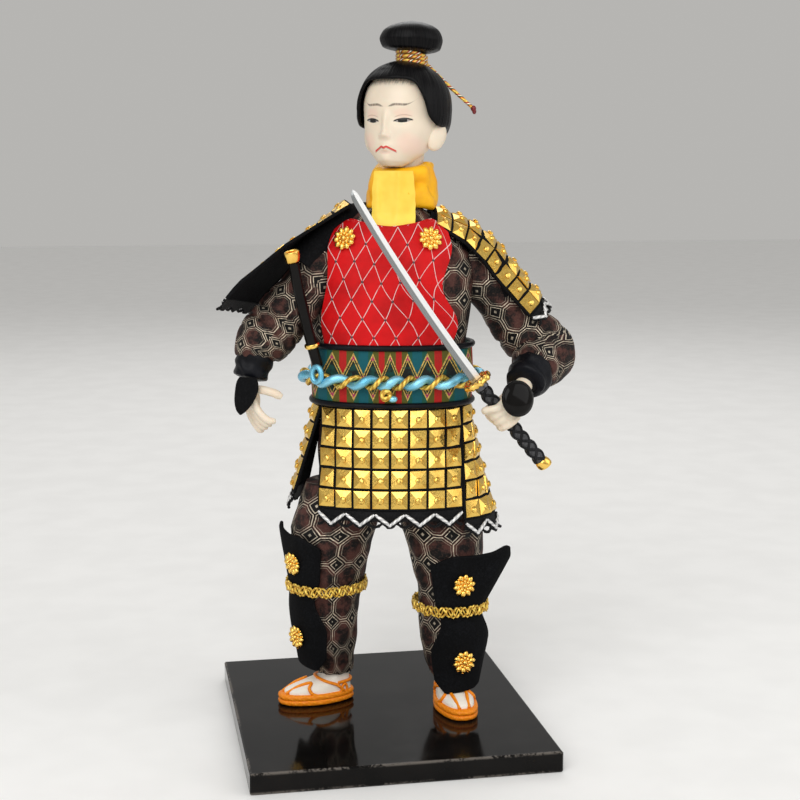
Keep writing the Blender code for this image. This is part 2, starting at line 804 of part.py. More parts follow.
def head_to_world(local):
    """Place a point of the head: x to the doll's left, y to the back, z up from the chin."""
    nod = Matrix.Rotation(-HEAD_NOD, 3, "X")
    turn = Matrix.Rotation(HEAD_TURN, 3, "Z")
    pivot = Vector((0, 0, HEAD_HEIGHT / 2))
    point = turn @ (nod @ (local - pivot)) + pivot
    return Vector((TORSO_X + HEAD_X, TORSO_Y + HEAD_Y, HIP + CHIN_HEIGHT)) + point


HEAD_TABLE = ((0.0, 0.2, 0.66, -0.25), (0.05, 0.36, 0.82, 0.0), (0.15, 0.6, 0.92, 0.34),
              (0.25, 0.76, 0.94, 0.6), (0.36, 0.89, 0.95, 0.82), (0.48, 0.97, 0.95, 0.95),
              (0.6, 1.0, 0.985, 1.0))


def head_shape(share, out):
    """Half width, front and back reach of the head at a share of its height."""
    if share <= 0.6:
        wide, front, back = blend(HEAD_TABLE, share)
        dome = 1.0
    else:
        wide, front, back = 1.0, 0.985, 1.0
        crown = 1.0 + out / HEAD_HEIGHT
        dome = sqrt(max(0.0, 1 - ((share - 0.6) / (crown - 0.6)) ** 2.3))
    grow = out if share > 0.1 else 0.0
    return ((wide * HEAD_HALF_WIDTH + grow) * dome, (front * HEAD_FRONT + grow) * dome,
            (back * HEAD_BACK + grow) * dome)


def face_relief(turn, share):
    """How far the nose, lips, chin and brow stand out of the face, and the eyes lie in it."""
    def bump(at, across_width, height, tall):
        return exp(-((turn - at) / across_width) ** 2) * exp(-((share - height) / tall) ** 2)
    nose = 2.4 * bump(0, 0.17, 0.29, 0.06) + 1.0 * bump(0, 0.12, 0.41, 0.08)
    lips = 0.8 * bump(0, 0.24, 0.17, 0.045)
    chin = 0.7 * bump(0, 0.3, 0.05, 0.05)
    eyes = -0.8 * (bump(0.4, 0.2, 0.435, 0.05) + bump(-0.4, 0.2, 0.435, 0.05))
    cheeks = 0.4 * (bump(0.75, 0.3, 0.27, 0.1) + bump(-0.75, 0.3, 0.27, 0.1))
    return (nose + lips + chin + eyes + cheeks) * UNIT


def head_point(turn, share, out):
    """A point of the head's surface. Turn 0 is the face."""
    wide, front, back = head_shape(share, out)
    ahead = cos(turn)
    middle = (front - back) / 2
    reach = (front + back) / 2
    relief = face_relief(turn, share) if out == 0.0 and abs(turn) < 1.5 else 0.0
    local = Vector((sin(turn) * wide, -middle - ahead * reach, share * HEAD_HEIGHT))
    local += Vector((sin(turn), -ahead, 0.0)) * relief
    return head_to_world(local)


def head():
    """The head and neck in one moulding, with its ears."""
    sides = 20
    shares = (0.0, 0.055, 0.115, 0.17, 0.22, 0.26, 0.3, 0.35, 0.4, 0.46, 0.55, 0.66, 0.77, 0.87,
              0.95, 0.99)
    rings = []
    for share in shares:
        turns = [face_turn(k, sides) for k in range(sides)]
        rings.append([head_point(turn, share, 0.0) for turn in turns])
    obj = add_object("head", loft(rings), skin())
    join(obj, add_object("neck_shape", loft(neck_rings(14)), skin()))
    for side, label in ((1, "left"), (-1, "right")):
        join(obj, ear(side, label))
    return obj


def face_turn(k, sides):
    """Turns round the head, closer together over the face."""
    even = tau * k / sides
    even = even - tau if even > pi else even
    return even - 0.32 * sin(even)


def neck_rings(sides):
    """Rings of the neck from the trunk up to under the jaw."""
    top = head_to_world(Vector((0, 3.5 * UNIT, 10.0 * UNIT)))
    rise = top.z - HIP - TORSO_HEIGHT - GAP
    return [[neck_centre(rise * part) + heading(tau * k / sides) * NECK_RADIUS for k in range(sides)]
            for part in (0.0, 0.5, 1.0)]


def ear(side, label):
    """A small flat ear at the side of the head."""
    stations = []
    for share, wide, deep in ((0.17, 1.0, 0.9), (0.26, 2.1, 1.4), (0.38, 2.7, 1.6), (0.46, 1.4, 1.0)):
        centre = head_point(side * 1.66, share, 0.7 * UNIT)
        stations.append((centre, wide * UNIT, deep * UNIT))
    shape = limb(stations, heading(HEAD_TURN), 6)
    return add_object("ear_shape_" + label, shape, skin())


HAIRLINE = ((0.0, 0.845), (0.45, 0.845), (0.66, 0.78), (0.85, 0.6), (1.0, 0.47), (1.25, 0.42),
            (1.4, 0.5), (1.65, 0.52), (1.9, 0.42), (2.2, 0.31), (pi, 0.29))


def hairline(turn):
    """Height share of the lower edge of the hair at a turn from the face."""
    return blend(HAIRLINE, abs(turn))[0]


def hair_cap():
    """The swept-up hair, a shell over the skull."""
    columns = 20
    rows = 6
    bm = bmesh.new()
    shells = []
    for out in (HAIR_CLEARANCE, HAIR_THICKNESS):
        crown = 1.0 + out / HEAD_HEIGHT
        grid = []
        for j in range(rows):
            part = sin(pi / 2 * (j / rows) ** 1.2)
            ring = []
            for k in range(columns):
                turn = face_turn(k, columns)
                low = hairline(turn)
                share = low + (crown - low) * part
                ring.append(bm.verts.new(head_point(turn, share, out)))
            grid.append(ring)
        top = bm.verts.new(head_to_world(Vector((0, 0, crown * HEAD_HEIGHT))))
        close_dome(bm, grid, top, columns)
        shells.append(grid)
    inner, outer = shells
    for k in range(columns):
        m = (k + 1) % columns
        bm.faces.new((inner[0][k], inner[0][m], outer[0][m], outer[0][k]))
    return add_object("hair_cap", bm, hair(), angle=60)


def close_dome(bm, grid, top, columns):
    """Faces of a dome from its rings of vertices to its top vertex."""
    for lower, upper in zip(grid, grid[1:]):
        for k in range(columns):
            m = (k + 1) % columns
            bm.faces.new((lower[k], lower[m], upper[m], upper[k]))
    for k in range(columns):
        bm.faces.new((grid[-1][k], grid[-1][(k + 1) % columns], top))


def crown_place():
    """Where the topknot stands on the crown."""
    back = 2.0 * UNIT
    rise = HEAD_HEIGHT + HAIR_THICKNESS + GAP
    return head_to_world(Vector((2.0 * UNIT, back, rise)))


def topknot():
    """The bound brush of hair, narrow at its tie and flared above it."""
    sides = 14
    base = crown_place()
    levels = ((0.0, 0.36), (0.32, 0.36), (0.42, 0.68), (0.55, 0.95), (0.7, 1.0), (0.87, 0.84),
              (0.98, 0.5))
    rings = []
    for part, share in levels:
        ring = []
        for k in range(sides):
            turn = tau * k / sides
            groove = 1.0 - (0.05 if k % 2 and part > 0.35 else 0.0)
            reach = TOPKNOT_RADIUS * share * groove
            if part < 0.35:
                reach = TOPKNOT_NECK
            point = base + Vector((sin(turn) * reach, -cos(turn) * reach * 0.9,
                                   part * TOPKNOT_HEIGHT))
            ring.append(point)
        rings.append(ring)
    return add_object("topknot", loft(rings), hair(), angle=60)


def topknot_tie():
    """Three turns of a coloured cord round the neck of the topknot."""
    sides = 12
    base = crown_place()
    turns = 3
    profile = []
    for k in range(turns):
        low = GAP + k * 2 * TIE_CORD
        profile += [(TIE_CORD * 1.4, low + 0.2 * TIE_CORD), (TIE_CORD * 2, low + TIE_CORD),
                    (TIE_CORD * 1.4, low + 1.8 * TIE_CORD)]
    profile = [(0.0, GAP)] + profile + [(0.0, GAP + turns * 2 * TIE_CORD)]
    rings = []
    for k in range(sides):
        turn = tau * k / sides
        ring = []
        for out, up in profile:
            reach = TOPKNOT_NECK + GAP + out / cos(pi / sides)
            ring.append(base + Vector((sin(turn) * reach, -cos(turn) * reach, up)))
        rings.append(ring)
    look = material("tie_cord", (0.7, 0.5, 0.15), 0.5)
    return add_object("topknot_tie", loft(rings, ring_round=True), look)


def topknot_cord_tail():
    """The loose end of the tie cord, which lies down the side of the hair."""
    base = crown_place()
    offsets = ((8.3, 1.6, 1.4), (9.9, 2.6, 0.4), (11.9, 3.4, -2.6), (14.4, 3.6, -6.4),
               (18.0, 2.8, -10.4), (21.6, 1.4, -14.6), (25.2, -0.4, -19.0), (26.4, -1.0, -20.6))
    points = smooth_route([base + Vector(offset) * UNIT for offset in offsets], 2)
    curve = bpy.data.curves.new("topknot_cord_tail", "CURVE")
    curve.dimensions = "3D"
    curve.bevel_depth = TAIL_RADIUS
    curve.bevel_resolution = 1
    curve.use_fill_caps = True
    line = curve.splines.new("POLY")
    line.points.add(len(points) - 1)
    for slot, point in zip(line.points, points):
        slot.co = (*point, 1.0)
    obj = bpy.data.objects.new("topknot_cord_tail", curve)
    curve.materials.append(material("tie_cord", (0.7, 0.5, 0.15), 0.5))
    bpy.context.collection.objects.link(obj)
    return obj


def smooth_route(points, steps):
    """Points of a smooth curve through a route's own points."""
    route = []
    for i in range(len(points) - 1):
        p0 = points[max(i - 1, 0)]
        p1, p2 = points[i], points[i + 1]
        p3 = points[min(i + 2, len(points) - 1)]
        for k in range(steps):
            t = k / steps
            route.append(0.5 * ((2 * p1) + (p2 - p0) * t + (2 * p0 - 5 * p1 + 4 * p2 - p3) * t * t
                                + (3 * p1 - p0 - 3 * p2 + p3) * t ** 3))
    route.append(points[-1])
    return route


# Scarf

def neck_centre(up):
    """The middle of the neck at a height over the trunk."""
    foot_at = Vector((TORSO_X + HEAD_X * 0.75, TORSO_Y + HEAD_Y * 0.3, HIP + TORSO_HEIGHT + GAP))
    top_at = head_to_world(Vector((0, 3.5 * UNIT, -1.0 * UNIT)))
    return foot_at.lerp(top_at, up / (top_at.z - foot_at.z))


def scarf_wrap():
    """The satin scarf wound round the neck, low under the chin and higher behind."""
    sides = 20
    inner = NECK_RADIUS + PAD_CLEARANCE
    rings = []
    for k in range(sides):
        turn = tau * k / sides
        front = max(0.0, cos(turn - HEAD_TURN)) ** 0.7
        top = CHIN_OVER_TRUNK + (2.5 - 5.0 * front) * UNIT
        fold = (0.7 if k % 2 else 0.0) * UNIT
        profile = ((inner, GAP), (SCARF_RADIUS - 0.6 * UNIT, GAP), (SCARF_RADIUS, 0.22 * top),
                   (SCARF_RADIUS - fold, 0.6 * top), (SCARF_RADIUS - 1.6 * UNIT - fold, 0.92 * top),
                   (inner + 1.5 * UNIT, top), (inner, 0.92 * top))
        ring = []
        for reach, up in profile:
            centre = neck_centre(up)
            point = centre + heading(turn) * reach
            ring.append(point)
        rings.append(ring)
    look = material("orange_satin", (0.95, 0.5, 0.03), 0.35)
    return add_object("scarf_wrap", loft(rings, ring_round=True), look)


def scarf_front():
    """The end of the scarf, which drops from the neck down to the chest panel."""
    stop = BELT_BOTTOM + BELT_HEIGHT + CHEST_PANEL_HEIGHT + GAP
    start = CHIN_HEIGHT - 3.0 * UNIT
    facing = radians(-4)

    def place(u, v, out):
        up = start + (stop - start) * v
        side = (2 * u - 1) * SCARF_WIDTH / 2 * (0.72 + 0.28 * smooth_step(v * 2.5))
        wide, deep = torso_section(min(up, TORSO_HEIGHT))
        neck = neck_centre(max(up - TORSO_HEIGHT, 0.0))
        over_neck = neck + heading(TORSO_TURN) * (SCARF_RADIUS + GAP + out)
        turn = arc_turn(wide, deep, 0.0, facing, 0.0)
        over_chest = torso_point(turn, min(up, TORSO_HEIGHT), PAD_CLEARANCE + out)
        ahead = heading(TORSO_TURN)
        reach = max((over_neck - from_hip(0, 0, 0)).dot(ahead),
                    (over_chest - from_hip(0, 0, 0)).dot(ahead))
        base = from_hip(0, 0, 0) + ahead * reach + across(TORSO_TURN) * (side + 1.2 * UNIT)
        base -= ahead * 0.9 * (side / SCARF_WIDTH * 2) ** 2 * UNIT
        base.z = HIP + up
        return base

    look = material("yellow_satin", (0.95, 0.72, 0.1), 0.3)
    return add_object("scarf_front", sheet(place, 4, 6, SCARF_THICKNESS), look)


# Arms

def stations_of(rows):
    """Stations from rows of place from the hips, half width and half depth."""
    return tuple((from_hip(x, y, up), wide * UNIT, deep * UNIT) for x, y, up, wide, deep in rows)


def right_arm_stations():
    """The right sleeve, which hangs beside the body."""
    return stations_of(((-26, 2, 95, 11.0, 10.5), (-32, 1, 87, 11.6, 11.4), (-39, 0, 79, 11.4, 11.2),
                        (-45.5, -1, 72, 12.0, 11.8), (-50.5, -2, 66.5, 12.2, 12.4),
                        (-55, -3, 61.5, 11.4, 12.0), (-58.2, -4, 57, 9.6, 10.0),
                        (-59.2, -4.5, 53.2, 7.2, 7.2)))


def left_arm_stations():
    """The left sleeve, bent at the elbow towards the sword."""
    return stations_of(((30, 1, 95.5, 11.5, 11.5), (38.5, 0.5, 87, 11.5, 11.5),
                        (45.5, 0, 79.5, 11.2, 11.2), (52.5, -0.5, 70.5, 11.6, 11.6),
                        (59.5, -2, 61.5, 12.6, 12.8), (65.5, -6, 54, 13.2, 13.4),
                        (60, -13.5, 49.5, 11.0, 11.2), (56.5, -18, 46.5, 8.8, 8.8)))


def sleeve(side, stations, cutter):
    """A padded sleeve, cut to sit against the trunk."""
    hint = Vector((0, -1, 0)) if side == "right" else Vector((0.4, -0.2, 1)).normalized()
    obj = add_object(side + "_sleeve", limb(stations, hint, 14), brocade())
    cut(obj, cutter)
    return obj


def cuff(side, start, end):
    """A black cuff round the wrist, between the sleeve and the hand."""
    ahead = (end - start).normalized()
    hint = Vector((0, -1, 0)) if side == "right" else Vector((0, 0, 1))
    lateral = (hint - ahead * hint.dot(ahead)).normalized()
    other = ahead.cross(lateral)
    inner = WRIST_RADIUS + PAD_CLEARANCE
    outer = CUFF_RADIUS_RIGHT if side == "right" else CUFF_RADIUS_LEFT
    profile = ((inner, 0.0), (outer, 0.0), (outer * 1.06, 0.45), (outer * 0.9, 1.0), (inner, 1.0))
    sides = 12
    rings = []
    for k in range(sides):
        turn = tau * k / sides
        away = lateral * cos(turn) + other * sin(turn)
        rings.append([start + ahead * (GAP + part * CUFF_LENGTH) + away * reach
                      for reach, part in profile])
    return add_object(side + "_cuff", loft(rings, ring_round=True), black_cloth())


def wrist_axis(side):
    """Where the wrist leaves the sleeve and which way it points."""
    stations = right_arm_stations() if side == "right" else left_arm_stations()
    end = stations[-1][0]
    return end, (end - stations[-2][0]).normalized()


def finger(name, points, radius):
    """A bent finger with a rounded tip."""
    start, middle, end = points
    tip = end + (end - middle).normalized() * radius * 0.7
    stations = ((start, radius, radius), (middle, radius, radius), (end, radius * 0.92, radius * 0.92),
                (tip, radius * 0.5, radius * 0.5))
    return add_object(name, limb(stations, Vector((0.3, 1, 0.2)).normalized(), 6), skin())


def right_hand():
    """The open right hand: a palm, four curled fingers and a thumb in one moulding."""
    start, ahead = wrist_axis("right")
    inside = start + ahead * 2 * GAP
    palm = ((inside, WRIST_RADIUS * 0.9, WRIST_RADIUS * 0.9),
            (start + ahead * CUFF_LENGTH * 0.8, WRIST_RADIUS * 0.85, WRIST_RADIUS * 0.85),
            (from_hip(-61.2, -6.6, 40.0), 4.6 * UNIT, 3.0 * UNIT),
            (from_hip(-61.4, -6.8, 35.5), 5.2 * UNIT, 2.8 * UNIT),
            (from_hip(-61.8, -6.6, 31.5), 4.2 * UNIT, 2.4 * UNIT))
    hand = add_object("right_hand", limb(palm, Vector((-0.35, 1, 0.1)).normalized(), 10), skin())
    thumb = (from_hip(-59.5, -10.5, 42.5), from_hip(-54.5, -13.5, 41.5), from_hip(-49.5, -14.0, 39.3))
    join(hand, finger("thumb_shape", thumb, FINGER_RADIUS * 1.05))
    for k in range(4):
        knuckle = from_hip(-59.8 - 0.6 * k, -10.4 + 2.5 * k, 36.2 - 1.4 * k)
        middle = from_hip(-57.4 - 0.7 * k, -11.6 + 2.5 * k, 31.6 - 1.6 * k)
        end = from_hip(-52.6 - 1.4 * k, -12.2 + 2.5 * k, 28.4 - 1.6 * k)
        join(hand, finger("right_finger_shape_%d" % k, (knuckle, middle, end), FINGER_RADIUS))
    return hand


def right_hand_guard():
    """A black leaf over the back of the right hand."""
    stations = ((from_hip(-63.0, -13.4, 45.2), 3.4 * UNIT, 0.5 * UNIT),
                (from_hip(-63.6, -13.2, 41.5), 4.8 * UNIT, 0.6 * UNIT),
                (from_hip(-64.6, -12.6, 37.0), 4.0 * UNIT, 0.6 * UNIT),
                (from_hip(-65.6, -11.6, 32.0), 1.2 * UNIT, 0.5 * UNIT))
    shape = limb(stations, Vector((0.86, -0.5, 0)).normalized(), 8)
    return add_object("right_hand_guard", shape, black_cloth())


def left_hand():
    """The left fist round the sword's grip, with its four fingers side by side."""
    fingers = 4
    levels = [(0.0, 0.78)]
    for k in range(fingers):
        levels += [((k + 0.5) / fingers, 1.0), ((k + 1) / fingers, 0.86)]
    section = oval(FIST_RADIUS, FIST_RADIUS, 12)
    _, ahead, face = sword_axis()
    rise = face.cross(ahead)
    rings = [[sword_point(FIST_ALONG + part * FIST_LENGTH, a * scale, b * scale) for a, b in section]
             for part, scale in levels]
    hand = add_object("left_hand", loft(rings), skin())
    start, wrist_ahead = wrist_axis("left")
    middle = sword_point(FIST_ALONG + FIST_LENGTH / 2, FIST_RADIUS * 0.6, -FIST_RADIUS * 0.75)
    near = start + wrist_ahead * (CUFF_LENGTH + GAP)
    palm = ((start + wrist_ahead * 2 * GAP, WRIST_RADIUS * 0.9, WRIST_RADIUS * 0.9),
            (near, WRIST_RADIUS * 0.9, WRIST_RADIUS * 0.9), (middle, 3.6 * UNIT, 3.0 * UNIT))
    join(hand, add_object("left_palm_shape", limb(palm, rise, 10), skin()))
    room = oval(GRIP_RADIUS + GAP, GRIP_RADIUS * 0.85 + GAP, 8)
    bore = [[sword_point(along, a, b) for a, b in room]
            for along in (FIST_ALONG - UNIT, FIST_ALONG + FIST_LENGTH / 2, FIST_ALONG + FIST_LENGTH + UNIT)]
    cut(hand, add_object("grip_room", loft(bore), skin()))
    return hand


def left_hand_guard():
    """A round glossy pad over the back of the left hand."""
    centre = from_hip(43.6, -44.4, 40.2)
    normal = Vector((0.28, -0.93, 0.18)).normalized()
    side = normal.orthogonal().normalized()
    other = normal.cross(side)
    sides = 14
    rings = []
    for share, lift in ((0.9, 0.0), (1.0, 0.3), (0.85, 0.8), (0.45, 1.0)):
        ring = []
        for k in range(sides):
            turn = tau * k / sides
            ring.append(centre + (side * cos(turn) + other * sin(turn)) * HAND_GUARD_RADIUS * share
                        + normal * HAND_GUARD_THICKNESS * lift)
        rings.append(ring)
    return add_object("left_hand_guard", loft(rings), lacquer())


# Shoulder guards

def guard_route(side):
    """Middle line of a shoulder guard with its bend: centre, level direction across and radius."""
    if side == "right":
        points = ((-18.5, 7.2, 118.6), (-28, 5.4, 110.4), (-42, 0.7, 99.6), (-52, -2, 90.2),
                  (-59, -2.8, 84), (-64.5, -3.5, 77))
        ways = ((0.1, 0.99, -0.05), (0.2, 0.97, -0.1), (0.32, 0.92, -0.15), (0.42, 0.88, -0.15),
                (0.48, 0.86, -0.15), (0.5, 0.85, -0.15))
        bends = (40, 60, 90, 120, 150, 150)
    else:
        points = ((17.5, 1, 115.5), (26.0, 1, 112.6), (34.5, 0.8, 109.0), (43.0, 0.5, 102.5),
                  (49.5, 0, 95.0), (56.0, -0.5, 87.5), (63.0, -1, 79), (69.4, -1.5, 71.5))
        ways = ((0.0, 1.0, 0.0),) * len(points)
        bends = (24, 20, 16.5, 14.6, 13.8, 13.6, 14.4, 15.4)
    return [from_hip(*point) for point in points], [Vector(way).normalized() for way in ways], bends


def guard_point(side, reach, along, out):
    """A point of a shoulder guard: reach across it, distance from the neck and push outward."""
    points, ways, bends = guard_route(side)
    walked = 0.0
    last = len(points) - 2
    for k in range(last + 1):
        run = points[k + 1] - points[k]
        if walked + run.length >= along or k == last:
            break
        walked += run.length
    part = (along - walked) / run.length
    centre = points[k] + run * part
    before = points[k] - points[max(k - 1, 0)] if k else run
    after = points[min(k + 2, last + 1)] - points[k + 1] if k < last else run
    ahead = ((before + run) * (1 - part) + (run + after) * part).normalized()
    way = (ways[k].lerp(ways[k + 1], part)).normalized()
    outward = way.cross(ahead).normalized()
    if outward.z < 0:
        outward = -outward
    bend = (bends[k] + (bends[k + 1] - bends[k]) * part) * UNIT
    turn = reach / bend
    return (centre + way * (bend + out) * sin(turn) - outward * bend * (1 - cos(turn))
            + outward * out * cos(turn))


def shoulder_guard(side):
    """A studded strip that lies over the shoulder and the upper arm, with its lace."""
    columns = 4
    rows = SHOULDER_ROWS
    half = columns * STUD_PITCH / 2

    def place(u, v, out):
        return guard_point(side, (2 * u - 1) * half, v * rows * STUD_PITCH, out)

    def edge(u, drop, out):
        return guard_point(side, (2 * u - 1) * half, rows * STUD_PITCH + drop, out)

    add_object(side + "_shoulder_guard", studded_sheet(place, columns, rows, ARMOUR_CLOTH), gold(), angle=10)
    lace(side + "_shoulder_lace", edge, 6)


# Sword

def sword_axis():
    """The end of the grip, the direction to the blade's tip and the blade's side direction."""
    end = from_hip(58.5, -37.0, 10.0)
    tip = from_hip(-24.5, -37.0, 126.0)
    ahead = (tip - end).normalized()
    return end, ahead, Vector((0, -1, 0))


def sword_point(along, up, out):
    """A point of the sword from the end of its grip, with its curve."""
    end, ahead, face = sword_axis()
    rise = face.cross(ahead)
    full = CAP_LENGTH + GRIP_LENGTH + COLLAR_LENGTH + TSUBA_THICKNESS + BLADE_LENGTH
    bow = BLADE_CURVE * (1 - (2 * along / full - 1) ** 2)
    return end + ahead * along + rise * (up + bow) + face * out


def sword_piece(name, levels, look, section):
    """A sword piece lofted through sections at places along the sword."""
    rings = []
    for along, scale in levels:
        rings.append([sword_point(along, a * scale, b * scale) for a, b in section])
    return add_object(name, loft(rings), look, angle=30)


def oval(half_tall, half_thick, sides):
    return [(half_tall * cos(tau * k / sides), half_thick * sin(tau * k / sides))
            for k in range(sides)]


def sword():
    """Blade, hand guard, collar, wrapped grip and end cap in a row along the sword."""
    cap_end = CAP_LENGTH
    levels = ((0.0, 0.7), (0.8 * UNIT, 1.0), (cap_end - 0.4 * UNIT, 1.0), (cap_end - GAP, 0.9))
    sword_piece("sword_end_cap", levels, gold(), oval(GRIP_RADIUS * 1.15, GRIP_RADIUS, 10))
    grip_end = cap_end + GRIP_LENGTH
    steps = 12
    levels = [(cap_end + GRIP_LENGTH * k / steps, 1.0 if k % 2 else 0.9) for k in range(steps + 1)]
    sword_piece("sword_grip", levels, black_cloth(), oval(GRIP_RADIUS, GRIP_RADIUS * 0.85, 8))
    collar_end = grip_end + COLLAR_LENGTH
    sword_piece("sword_collar", ((grip_end + GAP, 1.0), (collar_end, 1.0)), silver(),
                oval(GRIP_RADIUS * 1.12, GRIP_RADIUS * 0.95, 10))
    tsuba_end = collar_end + TSUBA_THICKNESS
    sides = 24
    petals = [(TSUBA_RADIUS * (1.0 if k % 3 else 0.86) * cos(tau * k / sides),
               TSUBA_RADIUS * (1.0 if k % 3 else 0.86) * sin(tau * k / sides)) for k in range(sides)]
    sword_piece("sword_guard", ((collar_end + GAP, 0.96), ((collar_end + tsuba_end) / 2, 1.0),
                                (tsuba_end, 0.96)), gold(), petals)
    blade(tsuba_end + GAP)


def blade(start):
    """The slightly curved blade: a spine, a flat and a sloped cutting edge, ending in a point."""
    half = BLADE_WIDTH / 2
    thick = BLADE_THICKNESS / 2
    section = ((half, 0.5 * thick), (half, -0.5 * thick), (-0.15 * half, -thick), (-half, 0.0),
               (-0.15 * half, thick))
    rings = []
    steps = 10
    for k in range(steps + 1):
        along = start + BLADE_LENGTH * k / steps
        part = k / steps
        narrow = 1.0 - 0.22 * part
        if k == steps:
            narrow = 0.12
        shift = half * (0.78 - narrow) if k == steps else 0.0
        rings.append([sword_point(along, a * narrow + shift, b * narrow) for a, b in section])
    return add_object("sword_blade", loft(rings), silver(), angle=20)


def scabbard_point(along, side, out):
    """A point of the scabbard from its mouth, with a slight curve."""
    mouth = from_hip(-44.8, -19.4, 99.2)
    foot_at = from_hip(-32.6, -10.4, 48.8)
    ahead = (foot_at - mouth).normalized()
    full = (foot_at - mouth).length
    level = ahead.cross(Vector((0, -1, 0))).normalized()
    front = level.cross(ahead)
    bow = SCABBARD_BOW * (1 - (2 * along / full - 1) ** 2)
    return mouth + ahead * along + level * (side + bow) + front * out


def scabbard():
    """The lacquered scabbard tucked in at the belt, with its gold mouth and band."""
    sides = 8
    length = SCABBARD_LENGTH
    mouth_end = MOUTH_LENGTH
    levels = [(mouth_end + GAP, 1.0)]
    steps = 5
    levels += [(mouth_end + (length - mouth_end) * k / steps, 1.0) for k in range(1, steps + 1)]
    section = oval(SCABBARD_RADIUS, SCABBARD_RADIUS * 0.85, sides)
    rings = [[scabbard_point(along, a * scale, b * scale) for a, b in section] for along, scale in levels]
    add_object("scabbard", loft(rings), lacquer(), angle=60)
    mouth_profile = ((1.0, 0.0), (1.4, 0.0), (1.4, 0.75), (1.15, 1.0), (0.6, 1.0), (0.6, 0.35), (1.0, 0.3))
    scabbard_ring("scabbard_mouth", mouth_profile, 0.0, mouth_end)
    inner = 1.0 + GAP / SCABBARD_RADIUS * 1.4
    band_profile = ((inner, 0.0), (inner + 0.22, 0.15), (inner + 0.22, 0.85), (inner, 1.0))
    scabbard_ring("scabbard_band", band_profile, length * 0.8, BAND_LENGTH)


def scabbard_ring(name, profile, start, length):
    """A gold ring on the scabbard."""
    sides = 8
    rings = []
    for k in range(sides):
        turn = tau * k / sides
        rings.append([scabbard_point(start + part * length, SCABBARD_RADIUS * share * cos(turn),
                                     SCABBARD_RADIUS * 0.85 * share * sin(turn)) for share, part in profile])
    return add_object(name, loft(rings, ring_round=True), gold())


def main():
    clear_scene()
    base = base_plate()
    right_hole = wire_hole("right_wire_hole", RIGHT_ANKLE)
    left_hole = wire_hole("left_wire_hole", LEFT_ANKLE)
    cut(base, right_hole)
    cut(base, left_hole)
    cut(foot("right_foot", RIGHT_ANKLE, RIGHT_FOOT_TURN), right_hole)
    cut(foot("left_foot", LEFT_ANKLE, LEFT_FOOT_TURN), left_hole)
    foot_wire("right_foot_wire", RIGHT_ANKLE)
    foot_wire("left_foot_wire", LEFT_ANKLE)
    cut(trouser_leg("right"), right_hole)
    cut(trouser_leg("left"), left_hole)
    for side in ("right", "left"):
        shin_guard(side)
        shin_braid(side)
        shin_rosettes(side)
    torso()
    torso_room = add_object("torso_room", loft(torso_rings(GAP)), black_cloth())
    chest_panel()
    chest_rosettes()
    belt()
    rope_strand("rope_blue_strand", 0.0, material("blue_satin", (0.35, 0.7, 0.85), 0.35))
    rope_strand("rope_gold_strand", pi, material("gold_cord", (0.75, 0.6, 0.2), 0.4, 0.5))
    skirt()
    head()
    hair_cap()
    topknot()
    topknot_tie()
    topknot_cord_tail()
    scarf_wrap()
    scarf_front()
    sleeve("right", right_arm_stations(), torso_room)
    sleeve("left", left_arm_stations(), torso_room)
    right = right_arm_stations()
    left = left_arm_stations()
    cuff("right", right[-1][0], right[-1][0] * 2 - right[-2][0])
    cuff("left", left[-1][0], left[-1][0] * 2 - left[-2][0])
    right_hand()
    right_hand_guard()
    left_hand()
    left_hand_guard()
    shoulder_guard("right")
    shoulder_guard("left")
    sword()
    scabbard()


main()
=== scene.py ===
"""Dressed model of a samurai doll on a black lacquered base.

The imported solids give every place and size. This file gives them their cloth, studs, hair, painted
face and finishes, and sets the studio round them. Metres, +Z up, the base's front faces -Y.
"""

from math import cos, exp, pi, radians, sin, sqrt, tau

import bmesh
import bpy
from bpy.props import FloatProperty, FloatVectorProperty, PointerProperty
from mathutils import Matrix, Vector, noise


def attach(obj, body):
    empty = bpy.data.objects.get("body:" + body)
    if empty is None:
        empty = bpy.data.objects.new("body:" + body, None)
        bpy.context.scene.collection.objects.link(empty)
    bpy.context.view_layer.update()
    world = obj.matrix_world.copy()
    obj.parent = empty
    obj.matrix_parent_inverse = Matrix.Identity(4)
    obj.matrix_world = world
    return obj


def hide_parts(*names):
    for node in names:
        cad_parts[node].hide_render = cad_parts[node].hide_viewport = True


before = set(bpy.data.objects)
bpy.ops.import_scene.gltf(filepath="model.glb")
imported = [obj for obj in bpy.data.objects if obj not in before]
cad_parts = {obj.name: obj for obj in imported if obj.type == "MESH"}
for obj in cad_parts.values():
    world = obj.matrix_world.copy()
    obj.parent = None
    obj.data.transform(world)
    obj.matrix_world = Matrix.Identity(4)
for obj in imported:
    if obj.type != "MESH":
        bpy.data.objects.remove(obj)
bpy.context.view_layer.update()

bl_info = {
    "name": "Samurai doll",
    "version": (1, 0, 0),
    "blender": (4, 5, 0),
    "location": "3D View > Sidebar > Doll",
    "description": "Dresses the samurai doll's solids in cloth, studs, hair and paint",
    "category": "Object",
}

MM = 0.001
UP = Vector((0, 0, 1))
SIDES = ("right", "left")

